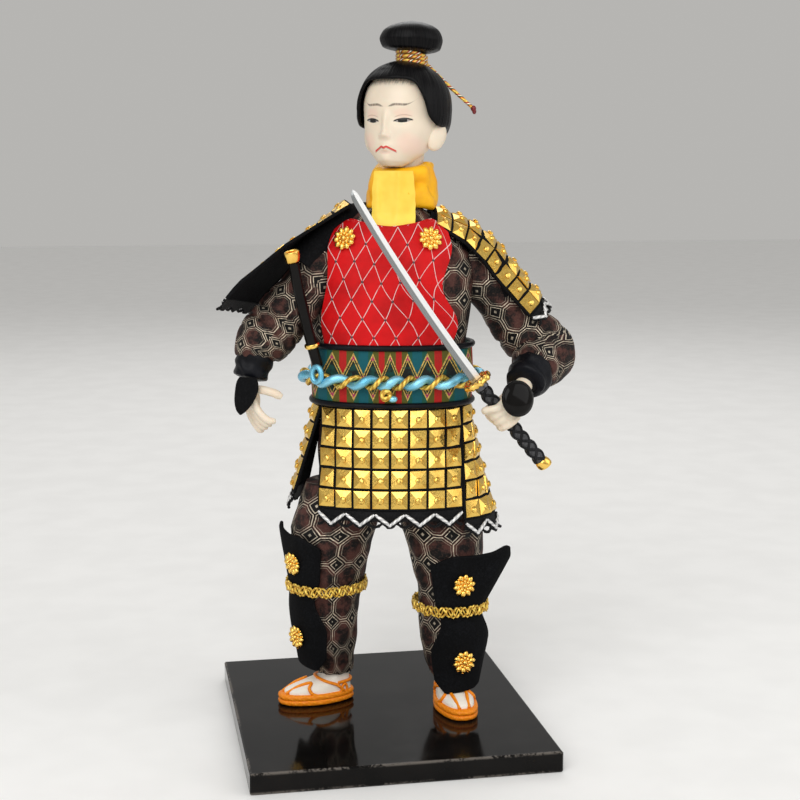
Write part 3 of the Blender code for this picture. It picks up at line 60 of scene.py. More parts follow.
# Sizes that the solids were made from
GAP = 0.3 * MM
FLOOR = 8.8 * MM
ANKLE = 21.8 * MM
LEG_LENGTH = 86 * MM
HIP = ANKLE + LEG_LENGTH
TRUNK_X = 6.5 * MM
TRUNK_Y = 6.0 * MM
TRUNK_TURN = radians(-12)
TRUNK_HEIGHT = 116 * MM
SECTION_POWER = 2.2
BELT_BOTTOM = 34 * MM
BELT_HEIGHT = 26 * MM
CHEST_HEIGHT = 51 * MM
CHEST_WIDTH = 58 * MM
CHEST_TURN = radians(-2)
STUD_PITCH = 7.7 * MM
STUD_ROW = 8.25 * MM
SKIRT_DROP = 50 * MM
FOOT_LENGTH = 34 * MM
FOOT_WIDTH = 17.2 * MM
FOOT_HEIGHT = 13.6 * MM
SOLE = 4.0 * MM
ANKLE_RADIUS = 6.2 * MM
HEEL_SHARE = -0.24
SOCK_SHARE = 0.86
FEET = {"right": ((-18.5, 10.5), radians(-82)), "left": ((30.0, -4.5), radians(4))}
SHIN_TURNS = {"right": radians(-58), "left": radians(4)}
SHIN_LIFTS = {"right": 11.0 * MM, "left": 3.2 * MM}
HEAD_TURN = radians(-36)
HEAD_NOD = radians(6)
HEAD_HEIGHT = 42 * MM
HEAD_HALF_WIDTH = 16.8 * MM
HEAD_FRONT = 17.2 * MM
HEAD_BACK = 20.5 * MM
CHIN_HEIGHT = 132 * MM
NECK_RADIUS = 7.6 * MM
SCARF_RADIUS = 13.8 * MM
TIE_RADIUS = 5.9 * MM
GRIP_START = 4.0 * MM
COLLAR_START = 43.0 * MM
GUARD_START = 46.0 * MM
BLADE_START = 47.6 * MM
BLADE_LENGTH = 92 * MM
SWORD_LENGTH = BLADE_START + BLADE_LENGTH

# Thickness of the cloths
ARMOUR_CLOTH = 0.9 * MM
LACE_CLOTH = 0.5 * MM
FELT = 1.3 * MM
CHEST_SATIN = 1.2 * MM
SCARF_SATIN = 0.8 * MM


# Shader values that Python's operators act on

class Value:
    """One socket of a shader tree. Arithmetic on it adds Math nodes."""

    def __init__(self, shades, socket):
        self.shades = shades
        self.socket = socket

    def math(self, operation, *others):
        return self.shades.node("ShaderNodeMath", {"operation": operation}, [self, *others])

    def __add__(self, other):
        return self.math("ADD", other)

    __radd__ = __add__

    def __sub__(self, other):
        return self.math("SUBTRACT", other)

    def __rsub__(self, other):
        return self.shades.node("ShaderNodeMath", {"operation": "SUBTRACT"}, [other, self])

    def __mul__(self, other):
        return self.math("MULTIPLY", other)

    __rmul__ = __mul__

    def __truediv__(self, other):
        return self.math("DIVIDE", other)

    def __rtruediv__(self, other):
        return self.shades.node("ShaderNodeMath", {"operation": "DIVIDE"}, [other, self])

    def __abs__(self):
        return self.math("ABSOLUTE")

    def __lt__(self, other):
        return self.math("LESS_THAN", other)

    def __gt__(self, other):
        return self.math("GREATER_THAN", other)

    def __pow__(self, other):
        return self.math("POWER", other)

    def fraction(self):
        return self.math("FRACT")

    def floor(self):
        return self.math("FLOOR")

    def sine(self):
        return self.math("SINE")

    def least(self, other):
        return self.math("MINIMUM", other)

    def most(self, other):
        return self.math("MAXIMUM", other)

    def near(self, place, half, soft=0.3):
        """1 within half of a place, easing to 0 over a share of that width."""
        away = abs(self - place)
        return self.shades.node("ShaderNodeMapRange", {"interpolation_type": "SMOOTHSTEP"},
                                [away, half * (1 - soft), half * (1 + soft), 1.0, 0.0])

    def ramp(self, low, high, start=0.0, end=1.0):
        """Ease from start to end as the value goes from low to high."""
        return self.shades.node("ShaderNodeMapRange", {"interpolation_type": "SMOOTHSTEP"},
                                [self, low, high, start, end])


class Shades:
    """A shader tree whose nodes are added by one method."""

    def __init__(self, tree):
        self.tree = tree

    def put(self, socket, value):
        if isinstance(value, Value):
            self.tree.links.new(value.socket, socket)
        elif socket.type == "RGBA" and len(value) == 3:
            socket.default_value = (*value, 1.0)
        else:
            socket.default_value = value

    def node(self, kind, settings, values, output=0):
        """Add a node, set its settings, fill its sockets and return one of its outputs."""
        made = self.tree.nodes.new(kind)
        for key, value in settings.items():
            setattr(made, key, value)
        pairs = values.items() if isinstance(values, dict) else enumerate(values)
        for key, value in pairs:
            self.put(made.inputs[key], value)
        return Value(self, made.outputs[output])


class Finish(Shades):
    """A procedural material with one Principled shader."""

    def __init__(self, name, **plain):
        self.material = bpy.data.materials.new(name)
        self.material.use_nodes = True
        super().__init__(self.material.node_tree)
        self.shader = self.tree.nodes["Principled BSDF"]
        for key, value in plain.items():
            self.put(self.shader.inputs[key.replace("_", " ").title().replace("Ior", "IOR")], value)

    def set(self, name, value):
        self.put(self.shader.inputs[name], value)

    def place(self, matrix=None):
        """Object coordinates in millimetres as three values, in a piece's own frame if given."""
        there = self.node("ShaderNodeTexCoord", {}, {}, output="Object")
        if matrix is not None:
            back = matrix.inverted()
            there = self.node("ShaderNodeMapping", {}, {"Vector": there, "Location": back.translation,
                                                        "Rotation": back.to_euler()})
        return [part * 1000.0 for part in self.split(there)]

    def split(self, vector):
        made = self.node("ShaderNodeSeparateXYZ", {}, [vector])
        return [Value(self, made.socket.node.outputs[k]) for k in range(3)]

    def join(self, x, y, z):
        return self.node("ShaderNodeCombineXYZ", {}, [x, y, z])

    def pattern(self):
        """The piece's own cloth coordinates in millimetres."""
        flat = self.node("ShaderNodeUVMap", {"uv_map": "pattern"}, {})
        x, y, _ = self.split(flat)
        return x * 1000.0, y * 1000.0

    def noise(self, vector, scale, detail=2.0, rough=0.5, stretch=None):
        """Noise from 0 to 1. Scale is in grains per metre."""
        if vector is None:
            vector = self.node("ShaderNodeTexCoord", {}, {}, output="Object")
        if stretch is not None:
            vector = self.node("ShaderNodeMapping", {}, {"Vector": vector, "Scale": stretch})
        return self.node("ShaderNodeTexNoise", {},
                         {"Vector": vector, "Scale": scale, "Detail": detail, "Roughness": rough})

    def mix(self, factor, first, second):
        """Blend two colours."""
        return self.node("ShaderNodeMix", {"data_type": "RGBA"}, {0: factor, 6: first, 7: second}, output=2)

    def bump(self, height, distance, strength=1.0):
        normal = self.node("ShaderNodeBump", {},
                           {"Height": height, "Distance": distance, "Strength": strength})
        self.set("Normal", normal)


def threads(finish, pitch):
    """A fine plain weave as bump height. The pitch is in millimetres."""
    across, along = finish.pattern()
    over = (across * (tau / pitch)).sine()
    under = (along * (tau / pitch)).sine()
    return over * under * 0.5 + 0.5


# Finishes. The sizes of their patterns are in millimetres

LATTICE = (9.3, 15.9)
BROCADE_CELL = (11.4, 13.0)


def lacquer_finish():
    """Black lacquer, deep and glossy, with fine scratches and worn front and left edges."""
    finish = Finish("black_lacquer", specular_ior_level=0.13)
    x, y, z = finish.place()
    grain = finish.noise(None, 900.0, 4.0, 0.6)
    patches = finish.noise(None, 45.0, 3.0, 0.55)
    front = y.ramp(-66.8, -68.3)
    left_side = x.ramp(-61.6, -62.8)
    upper = z.ramp(7.6, 8.7) * (front + left_side).least(1.0)
    lower = z.ramp(1.6, 0.3) * (front + left_side).least(1.0)
    worn = (upper + lower) * ((patches * 0.7 + grain * 0.5).ramp(0.56, 0.66))
    colour = finish.mix(patches.ramp(0.3, 0.75), (0.003, 0.0027, 0.0025), (0.007, 0.006, 0.0055))
    finish.set("Base Color", finish.mix(worn.least(1.0), colour, (0.13, 0.115, 0.1)))
    finish.set("Roughness", patches.ramp(0.3, 0.8, 0.06, 0.16) + worn * 0.4)
    finish.bump(patches * 0.8 + grain * 0.06, 0.0001, 0.2)
    return finish.material


def gold_finish(name="gilded_metal", tone=(0.98, 0.64, 0.15), rough=0.16):
    """Bright stamped gilt metal with small dents and darker patches."""
    finish = Finish(name, metallic=1.0)
    patches = finish.noise(None, 260.0, 2.0, 0.5)
    fine = finish.noise(None, 1600.0, 2.0, 0.5)
    warm = (tone[0] * 0.86, tone[1] * 0.7, tone[2] * 0.5)
    finish.set("Base Color", finish.mix(patches.ramp(0.4, 0.75) * 0.7, tone, warm))
    finish.set("Roughness", fine.ramp(0.3, 0.75, rough * 0.7, rough * 1.7))
    finish.bump(patches * 0.8 + fine * 0.25, 0.0002, 0.22)
    return finish.material


def brocade_finish(colours):
    """Dark brocade: octagons outlined by double silver lines, with small squares between them."""
    finish = Finish("dark_brocade", specular_ior_level=0.2)
    across, along = finish.pattern()
    wander = finish.noise(None, 100.0, 2.0, 0.5)
    across = across + (wander - 0.5) * 1.6
    along = along + (wander - 0.5) * 1.4
    away_x = (0.5 - abs((across / BROCADE_CELL[0]).fraction() - 0.5)) * BROCADE_CELL[0]
    away_y = (0.5 - abs((along / BROCADE_CELL[1]).fraction() - 0.5)) * BROCADE_CELL[1]
    slant = (away_x + away_y - 3.9) * 0.7071
    inside = slant > 0.0
    rim = away_x.least(away_y).least(slant)
    border = rim.near(0.55, 0.19).most(rim.near(1.55, 0.1) * 0.5)
    square = slant.near(-0.55, 0.17).most(slant.near(-2.5, 0.3) * 0.8)
    drawn = (border * inside).most(square * (1 - inside))
    worn = finish.noise(None, 520.0, 2.0, 0.6)
    broad = finish.noise(None, 70.0, 2.0, 0.5)
    silver_share = (drawn * worn.ramp(0.3, 0.56, 0.3, 1.0) * broad.ramp(0.35, 0.6, 0.55, 1.0)).least(1.0)
    fill = finish.noise(None, 150.0, 4.0, 0.65)
    speck = finish.noise(None, 1300.0, 2.0, 0.6)
    ground = finish.mix(fill.ramp(0.42, 0.62) * inside, (0.004, 0.0035, 0.0035), colours.brocade_fill)
    ground = finish.mix(inside * speck.ramp(0.5, 0.7) * 0.3, ground, (0.13, 0.07, 0.05))
    finish.set("Base Color", finish.mix(silver_share, ground, colours.brocade_line))
    finish.set("Metallic", silver_share * 0.75)
    finish.set("Roughness", 0.66 - silver_share * 0.32)
    finish.bump(silver_share * 0.8 + threads(finish, 0.55) * 0.35 + fill * 0.3, 0.0003, 0.8)
    return finish.material


def satin_finish(name, tone, deep, rough=0.36, gloss=0.3, metallic=0.0):
    """Plain satin: fine threads, a soft gloss and darker patches."""
    finish = Finish(name, specular_ior_level=gloss, metallic=metallic)
    fill = finish.noise(None, 60.0, 3.0, 0.55)
    finish.set("Base Color", finish.mix(fill.ramp(0.35, 0.7), tone, deep))
    finish.set("Roughness", fill.ramp(0.2, 0.8, rough * 0.85, rough * 1.2))
    finish.bump(threads(finish, 0.35) * 0.5 + fill * 0.5, 0.00012, 0.6)
    return finish.material


def chest_finish(colours):
    """Red satin with a slanted silver lattice."""
    finish = Finish("red_satin", specular_ior_level=0.14)
    across, along = finish.pattern()
    first = (across / LATTICE[0] + along / LATTICE[1]).fraction()
    second = (across / LATTICE[0] - along / LATTICE[1]).fraction()
    line = first.near(0.5, 0.017, 0.5).most(second.near(0.5, 0.017, 0.5))
    worn = finish.noise(None, 500.0, 2.0, 0.5)
    fill = finish.noise(None, 70.0, 3.0, 0.6)
    line = line * worn.ramp(0.25, 0.5, 0.45, 1.0)
    red = finish.mix(fill.ramp(0.35, 0.7), colours.chest, tuple(c * 0.72 for c in colours.chest))
    finish.set("Base Color", finish.mix(line, red, (0.85, 0.66, 0.64)))
    finish.set("Roughness", 0.42 - line * 0.12)
    finish.bump(line * 0.8 + threads(finish, 0.4) * 0.3 + fill * 0.4, 0.00025, 0.7)
    return finish.material


def belt_finish(colours):
    """Woven belt: triangles of olive, red and teal above and below a gold zigzag."""
    finish = Finish("belt_brocade", specular_ior_level=0.2)
    across, along = finish.pattern()
    period = 9.5
    row = 9.6
    share = (across / period).fraction() - 0.5
    off = abs(share) * 2.0
    which = (across / period).floor() * 0.5
    odd = which.fraction() > 0.25
    depth = (13.0 - abs(along - 13.0) - 2.4) / row
    fine = finish.noise(None, 1400.0, 2.0, 0.6)
    patches = finish.noise(None, 260.0, 3.0, 0.6)
    inside = off + depth < 1.0
    red_part = finish.mix(off < 0.34, colours.belt_olive, (0.45, 0.014, 0.012))
    teal_part = finish.mix(off < 0.5, (0.012, 0.09, 0.06), colours.belt_teal)
    triangle = finish.mix(odd, red_part, teal_part)
    dark = finish.mix(patches.ramp(0.45, 0.6), (0.012, 0.014, 0.012), (0.01, 0.06, 0.045))
    corner = (off.near(1.0, 0.2) * depth.near(0.16, 0.16)).most(off.near(0.0, 0.24) * depth.near(1.2, 0.16))
    dark = finish.mix(corner.least(1.0), dark, (0.42, 0.015, 0.13))
    picture = finish.mix(inside, dark, triangle)
    zigzag = (off + depth).near(1.04, 0.075).most((off + depth).near(1.3, 0.05))
    gold_share = (zigzag * fine.ramp(0.34, 0.5, 0.25, 1.0)).least(1.0)
    picture = finish.mix(fine.ramp(0.5, 0.8) * 0.3, picture, (0.02, 0.02, 0.02))
    finish.set("Base Color", finish.mix(gold_share, picture, (0.72, 0.5, 0.13)))
    finish.set("Metallic", gold_share * 0.7)
    finish.set("Roughness", 0.6 - gold_share * 0.25)
    finish.bump(gold_share + threads(finish, 0.5) * 0.45, 0.0003, 0.8)
    return finish.material


def cloth_finish(name, tone, light, pitch=0.6, rough=0.85, sheen=0.0):
    """Plain cloth, felt or lace ground with a little lint."""
    finish = Finish(name, sheen_weight=sheen, sheen_roughness=0.5, specular_ior_level=0.1)
    lint = finish.noise(None, 1300.0, 3.0, 0.7)
    patches = finish.noise(None, 120.0, 3.0, 0.6)
    finish.set("Base Color", finish.mix((lint * 0.6 + patches * 0.4).ramp(0.42, 0.72), tone, light))
    finish.set("Roughness", patches.ramp(0.2, 0.8, rough * 0.9, min(1.0, rough * 1.1)))
    finish.bump(threads(finish, pitch) * 0.4 + lint * 0.6, 0.00015, 0.7)
    return finish.material


def thread_finish(name, tone, deep, metallic):
    """Shiny cord or braid with a fine twist, painted lighter on the twist's ridges and darker as shade in its
    grooves.
    """
    finish = Finish(name)
    across, along = finish.pattern()
    twist_and_shade = (across * 2.2 + along * 2.4).sine() * 0.5 + 0.5
    patches = finish.noise(None, 1500.0, 2.0, 0.6)
    # Colour follows the twist's relief: painted light on its ridges and painted shade in its grooves, with
    # random patches over it.
    finish.set("Base Color", finish.mix((twist_and_shade * 0.6 + patches * 0.5).ramp(0.3, 0.85), deep, tone))
    finish.set("Metallic", patches.ramp(0.3, 0.7, metallic * 0.8, metallic))
    finish.set("Roughness", patches.ramp(0.2, 0.8, 0.304, 0.456))
    finish.bump(twist_and_shade * 0.7 + patches * 0.4, 0.0002, 0.6)
    return finish.material


def tie_finish():
    """Cord of gold, red, green and white threads in short slanted runs."""
    finish = Finish("coloured_cord")
    across, along = finish.pattern()
    lay = (across * 0.19 + along * 0.26).fraction()
    patches = finish.noise(None, 900.0, 2.0, 0.6)
    colour = finish.mix(lay > 0.42, (0.82, 0.56, 0.1), (0.42, 0.015, 0.015))
    colour = finish.mix(lay > 0.58, colour, (0.9, 0.82, 0.62))
    colour = finish.mix(lay > 0.72, colour, (0.015, 0.07, 0.03))
    colour = finish.mix(lay > 0.84, colour, (0.75, 0.2, 0.02))
    finish.set("Base Color", finish.mix(patches.ramp(0.5, 0.75) * 0.3, colour, (0.6, 0.36, 0.06)))
    finish.set("Metallic", patches.ramp(0.3, 0.7, 0.2, 0.6))
    finish.set("Roughness", patches.ramp(0.2, 0.8, 0.3, 0.5))
    finish.bump((lay * tau * 2).sine() * 0.5 + patches * 0.4, 0.0002, 0.7)
    return finish.material


def hair_finish():
    """Black silk strands, combed along the piece, with a soft gloss."""
    finish = Finish("black_silk", specular_ior_level=0.08)
    flat = finish.node("ShaderNodeUVMap", {"uv_map": "pattern"}, {})
    strands = finish.noise(flat, 1.0, 3.0, 0.6, stretch=(2600.0, 40.0, 1.0))
    broad = finish.noise(flat, 1.0, 2.0, 0.5, stretch=(500.0, 25.0, 1.0))
    colour = finish.mix(strands.ramp(0.4, 0.75), (0.0025, 0.0025, 0.003), (0.01, 0.009, 0.009))
    finish.set("Base Color", colour)
    finish.set("Roughness", strands.ramp(0.3, 0.75, 0.24, 0.4))
    finish.bump(strands * 0.6 + broad * 0.7, 0.0003, 0.5)
    return finish.material


def skin_finish():
    """Pale moulded plastic with a slightly warm blush."""
    finish = Finish("ivory_plastic", subsurface_weight=0.08, subsurface_scale=0.002, specular_ior_level=0.4)
    patches = finish.noise(None, 90.0, 2.0, 0.5)
    finish.set("Base Color", finish.mix(patches.ramp(0.3, 0.75), (0.8, 0.71, 0.57), (0.75, 0.62, 0.47)))
    finish.set("Roughness", patches.ramp(0.2, 0.8, 0.36, 0.5))
    finish.bump(patches, 0.0001, 0.3)
    return finish.material


def steel_finish(name, tone, rough):
    """Silver-coated metal with faint lengthwise brushing."""
    finish = Finish(name, metallic=1.0)
    across, along = finish.pattern()
    streak = finish.noise(finish.join(across * 3.0, along * 0.12, 0.0), 1.0, 3.0, 0.6)
    patches = finish.noise(None, 200.0, 2.0, 0.5)
    finish.set("Base Color", finish.mix(patches.ramp(0.4, 0.8), tone, tuple(c * 0.85 for c in tone)))
    finish.set("Roughness", (streak * 0.5 + patches * 0.5).ramp(0.3, 0.7, rough * 0.75, rough * 1.3))
    finish.bump(streak, 0.0001, 0.35)
    return finish.material


def eye_paint(finish, colour, side, z, front):
    """Draw the eyes: a dark iris in a grey white, a black upper rim and a soft fold above it."""
    slant = z - 18.1 - (side - 6.9) * 0.12
    almond = 1.0 - ((side - 6.9) / 3.4) ** 2.0
    opening = (almond * 0.75 - abs(slant)).ramp(-0.06, 0.12)
    iris = (((side - 6.7) / 1.75) ** 2.0 + (slant / 1.6) ** 2.0).ramp(0.8, 1.15, 1.0, 0.0)
    upper = (slant - almond * 0.75).near(0.1, 0.3) * almond.ramp(-0.2, 0.1)
    lid_fold = (slant - almond * 0.8).near(1.5, 0.16) * almond.ramp(-0.1, 0.4)
    white = finish.mix(iris, (0.34, 0.31, 0.29), (0.004, 0.004, 0.004))
    colour = finish.mix(lid_fold * front * 0.6, colour, (0.45, 0.27, 0.22))
    colour = finish.mix(opening * front, colour, white)
    return finish.mix(upper.least(1.0) * front, colour, (0.012, 0.009, 0.008)), opening


def brow_paint(finish, colour, side, z, front, hairs):
    """Draw the thin waved brows."""
    line = z - 23.6 - side.ramp(0.8, 4.2, 0.0, 0.8) - ((side - 7.4).most(0.0) ** 2.0) * 0.15
    half = ((side - 0.6) * 0.4).least((11.7 - side) * 0.2).ramp(0.0, 0.9, 0.0, 0.5)
    brow = (half - abs(line)).ramp(-0.12, 0.2) * hairs.ramp(0.3, 0.6, 0.6, 1.0)
    return finish.mix(brow * front * 0.85, colour, (0.1, 0.08, 0.06))


def mouth_paint(finish, colour, side, z, front):
    """Draw the bowed red mouth with a dark line where the lips part, and a faint painted shadow below it."""
    bow = 7.6 - abs(side - 1.1) * 0.48
    width = side.ramp(4.5, 5.0, 1.0, 0.0)
    upper_lip = (1.0 - abs(z - bow + 0.2) / 0.48).ramp(0.0, 0.45) * width
    shade_below_mouth = (1.0 - (side / 3.0) ** 2.0 - ((z - 5.2) / 0.9) ** 2.0).ramp(0.0, 0.5)
    parting = (z - bow + 0.72).near(0.0, 0.12) * width
    # A faint pinkish patch below the mouth: painted shadow under the lips.
    colour = finish.mix(shade_below_mouth * front * 0.25, colour, (0.8, 0.42, 0.36))
    colour = finish.mix(upper_lip * front, colour, (0.62, 0.045, 0.035))
    return finish.mix(parting * front * 0.7, colour, (0.25, 0.02, 0.02))


def face_finish(colours):
    """The painted face: eyes, brows, mouth and a faint blush on pale plastic."""
    finish = Finish("ivory_face", subsurface_weight=0.1, subsurface_scale=0.002, specular_ior_level=0.4)
    x, y, z = finish.place(HEAD)
    front = y < -2.0
    side = abs(x)
    patches = finish.noise(None, 90.0, 2.0, 0.5)
    hairs = finish.noise(finish.join(x * 3.0, z * 0.35, 0.0), 1.0, 2.0, 0.6)
    colour = finish.mix(patches.ramp(0.3, 0.75), colours.skin, tuple(c * 0.93 for c in colours.skin))
    cheek = (((side - 9.0) / 5.5) ** 2.0 + ((z - 9.0) / 5.5) ** 2.0).ramp(0.0, 1.0, 0.35, 0.0)
    lid = (((side - 7.0) / 4.5) ** 2.0 + ((z - 21.0) / 2.6) ** 2.0).ramp(0.0, 1.0, 0.3, 0.0)
    colour = finish.mix(cheek.most(lid) * front, colour, (0.86, 0.5, 0.42))
    colour, opening = eye_paint(finish, colour, side, z, front)
    colour = brow_paint(finish, colour, side, z, front, hairs)
    colour = mouth_paint(finish, colour, side, z, front)
    fringe = (z - 31.5).ramp(0.0, 3.5) * hairs.ramp(0.42, 0.6)
    finish.set("Base Color", finish.mix(fringe * front * 0.75, colour, (0.05, 0.045, 0.045)))
    finish.set("Roughness", patches.ramp(0.2, 0.8, 0.36, 0.46) - (opening * front) * 0.25)
    finish.bump(patches, 0.00008, 0.3)
    return finish.material


def blade_finish():
    """Silver blade: the grey flat beside the back is painted shade and the bright bevel ground to the edge is
    a painted highlight.
    """
    finish = Finish("bright_steel")
    across, along = finish.pattern()
    bevel = (1.0 - abs(across - 3.0)).ramp(-0.05, 0.1)
    streak = finish.noise(finish.join(across * 3.0, along * 0.1, 0.0), 1.0, 3.0, 0.6)
    # The flat's dark grey and the bevel's near white are painted shade and painted highlight on one silver.
    finish.set("Base Color", finish.mix(bevel, (0.24, 0.25, 0.25), (0.82, 0.82, 0.81)))
    finish.set("Metallic", 0.75)
    finish.set("Roughness", bevel * 0.12 + streak.ramp(0.3, 0.7, 0.2, 0.32))
    finish.bump(streak, 0.0001, 0.25)
    return finish.material


def sole_finish():
    """Orange straw-coloured sandal with the fine slanted lines of a plait, painted lighter on its ridges and
    darker as shade in its grooves.
    """
    finish = Finish("sandal_orange", specular_ior_level=0.25)
    across, along = finish.pattern()
    plait = ((across * 3.1).sine() * 0.5 + 0.5) * ((along * 3.4 + across * 1.2).sine() * 0.5 + 0.5)
    patches = finish.noise(None, 240.0, 2.0, 0.6)
    # Colour follows the plait's relief: painted light on its ridges and painted shade in its grooves.
    colour = finish.mix(plait * 0.5 + patches * 0.4, (0.8, 0.2, 0.005), (1.0, 0.36, 0.012))
    finish.set("Base Color", colour)
    finish.set("Roughness", patches.ramp(0.2, 0.8, 0.35, 0.55))
    finish.bump(plait, 0.0003, 0.6)
    return finish.material


LOOKS = {}


def look(name):
    """A finish by its name, made the first time that it is asked for."""
    colours = bpy.context.scene.doll_colours
    makers = {
        "lacquer": lacquer_finish,
        "gold": gold_finish,
        "stud": lambda: gold_finish("stud_gold", (0.84, 0.56, 0.13), 0.2),
        "brocade": lambda: brocade_finish(colours),
        "orange": lambda: satin_finish("orange_satin", (0.93, 0.5, 0.004), (0.87, 0.36, 0.002)),
        "yellow": lambda: satin_finish("yellow_satin", (0.95, 0.68, 0.09), (0.92, 0.53, 0.04)),
        "chest": lambda: chest_finish(colours),
        "belt": lambda: belt_finish(colours),
        "black_cloth": lambda: cloth_finish("black_cloth", (0.003, 0.003, 0.0035), (0.01, 0.01, 0.011)),
        "felt": lambda: cloth_finish("black_felt", (0.0025, 0.0026, 0.003), (0.008, 0.0085, 0.01), 0.9, 0.95),
        "cuff": lambda: satin_finish("cuff_satin", (0.004, 0.0045, 0.007), (0.0015, 0.0015, 0.0025), 0.34,
                                     gloss=0.14),
        "lace": lambda: cloth_finish("black_lace", (0.003, 0.003, 0.0033), (0.014, 0.014, 0.015), 0.5,
                                     rough=0.6, sheen=0.05),
        "silver_thread": lambda: thread_finish("silver_thread", (0.88, 0.87, 0.85), (0.5, 0.5, 0.5), 0.4),
        "gold_thread": lambda: thread_finish("gold_thread", (0.95, 0.68, 0.13), (0.5, 0.27, 0.03), 0.6),
        "blue_cord": lambda: satin_finish("blue_cord", (0.34, 0.76, 0.95), (0.12, 0.46, 0.66), 0.24,
                                          gloss=0.5, metallic=0.65),
        "red_thread": lambda: thread_finish("red_thread", (0.26, 0.012, 0.018), (0.08, 0.006, 0.008), 0.1),
        "tie": tie_finish,
        "hair": hair_finish,
        "skin": skin_finish,
        "face": lambda: face_finish(colours),
        "tabi": lambda: cloth_finish("tabi_white", (0.86, 0.8, 0.7), (0.9, 0.86, 0.78), 0.5, 0.5),
        "sandal": sole_finish,
        "blade": blade_finish,
        "dark_steel": lambda: steel_finish("dark_steel", (0.12, 0.12, 0.13), 0.3),
        "grip": lambda: cloth_finish("grip_wrap", (0.01, 0.01, 0.011), (0.03, 0.03, 0.033), 0.4, 0.5),
        "grip_ground": lambda: cloth_finish("grip_ground", (0.05, 0.05, 0.053), (0.12, 0.12, 0.125), 0.4,
                                            rough=0.5),
    }
    if name not in LOOKS:
        LOOKS[name] = makers[name]()
    return LOOKS[name]


# Places on the body

def smooth_step(x):
    """Ease from 0 to 1 as x goes from 0 to 1."""
    x = min(max(x, 0.0), 1.0)
    return x * x * (3 - 2 * x)


def blend(table, x):
    """Read a table of (position, value, ...) rows with straight runs between its rows."""
    if x <= table[0][0]:
        return table[0][1:]
    for low, high in zip(table, table[1:]):
        if x <= high[0]:
            part = (x - low[0]) / (high[0] - low[0])
            return tuple(a + (b - a) * part for a, b in zip(low[1:], high[1:]))
    return table[-1][1:]


def ease(table, x):
    """Read a table as blend does, on one smooth curve through its rows."""
    rows = [Vector(row[1:]) if len(row) > 2 else Vector((row[1], 0)) for row in table]
    places = [row[0] for row in table]
    x = min(max(x, places[0]), places[-1])
    k = max(i for i in range(len(places) - 1) if places[i] <= x or i == 0)
    t = (x - places[k]) / (places[k + 1] - places[k])
    p1, p2 = rows[k], rows[k + 1]
    p0 = rows[k - 1] if k else p1 * 2 - p2
    p3 = rows[k + 2] if k + 2 < len(rows) else p2 * 2 - p1
    m1 = (p2 - p0) / 2
    m2 = (p3 - p1) / 2
    return ((2 * t ** 3 - 3 * t ** 2 + 1) * p1 + (t ** 3 - 2 * t ** 2 + t) * m1
            + (3 * t ** 2 - 2 * t ** 3) * p2 + (t ** 3 - t ** 2) * m2)


def route(points, steps):
    """Points of a smooth curve through a route's own points."""
    table = [(float(k), *point) for k, point in enumerate(points)]
    count = (len(points) - 1) * steps
    return [Vector(ease(table, k / steps)) for k in range(count + 1)]


def heading(turn):
    """The level direction at a turn. Turn 0 is the front."""
    return Vector((sin(turn), -cos(turn), 0.0))


def across_of(turn):
    """The level direction to the left of a heading."""
    return Vector((cos(turn), sin(turn), 0.0))


def from_hip(x, y, up):
    """A point in millimetres from the middle of the hips."""
    return Vector((TRUNK_X + x * MM, TRUNK_Y + y * MM, HIP + up * MM))


TRUNK_TABLE = ((0.0, 31.0, 19.0), (0.12, 32.0, 20.0), (0.29, 31.5, 20.5), (0.4, 31.8, 20.5),
               (0.52, 31.5, 20.5), (0.64, 33.6, 21.6), (0.75, 34.6, 21.8), (0.84, 32.6, 20.6),
               (0.91, 27.0, 18.6), (0.96, 19.5, 15.5), (1.0, 13.0, 12.5))


def trunk_section(up):
    """Half width and half depth of the trunk at a height over the hips."""
    wide, deep = blend(TRUNK_TABLE, up / TRUNK_HEIGHT)
    return wide * MM, deep * MM


def section_point(wide, deep, turn, out):
    """A point of a rounded level section, pushed out square to its outline."""
    def rim(at):
        reach = (abs(sin(at)) / wide) ** SECTION_POWER + (abs(cos(at)) / deep) ** SECTION_POWER
        return Vector((sin(at), -cos(at))) * reach ** (-1 / SECTION_POWER)
    step = 0.01
    run = rim(turn + step) - rim(turn - step)
    away = Vector((run.y, -run.x)).normalized()
    if away.dot(rim(turn)) < 0:
        away = -away
    return rim(turn) + away * out


def turned(flat, up):
    """Put a point of a level section round the trunk's own axis."""
    level = Matrix.Rotation(TRUNK_TURN, 2) @ flat
    return Vector((TRUNK_X + level.x, TRUNK_Y + level.y, HIP + up))


def trunk_point(turn, up, out):
    """A point of the trunk's surface, pushed out."""
    wide, deep = trunk_section(up)
    return turned(section_point(wide, deep, turn, out), up)


def arc_turn(wide, deep, start, reach):
    """The turn that lies a given reach along a section's outline from a start."""
    step = radians(1.0) if reach > 0 else radians(-1.0)
    walked = 0.0
    turn = start
    here = section_point(wide, deep, turn, 0.0)
    while walked < abs(reach):
        there = section_point(wide, deep, turn + step, 0.0)
        length = (there - here).length
        if walked + length > abs(reach):
            return turn + step * (abs(reach) - walked) / length
        walked += length
        turn += step
        here = there
    return turn


WAIST = (31.8 * MM, 20.5 * MM)


def belt_point(turn, up, out):
    """A point of the belt, one straight band round the waist."""
    return turned(section_point(*WAIST, turn, GAP + out), up)


SKIRT_CACHE = {}


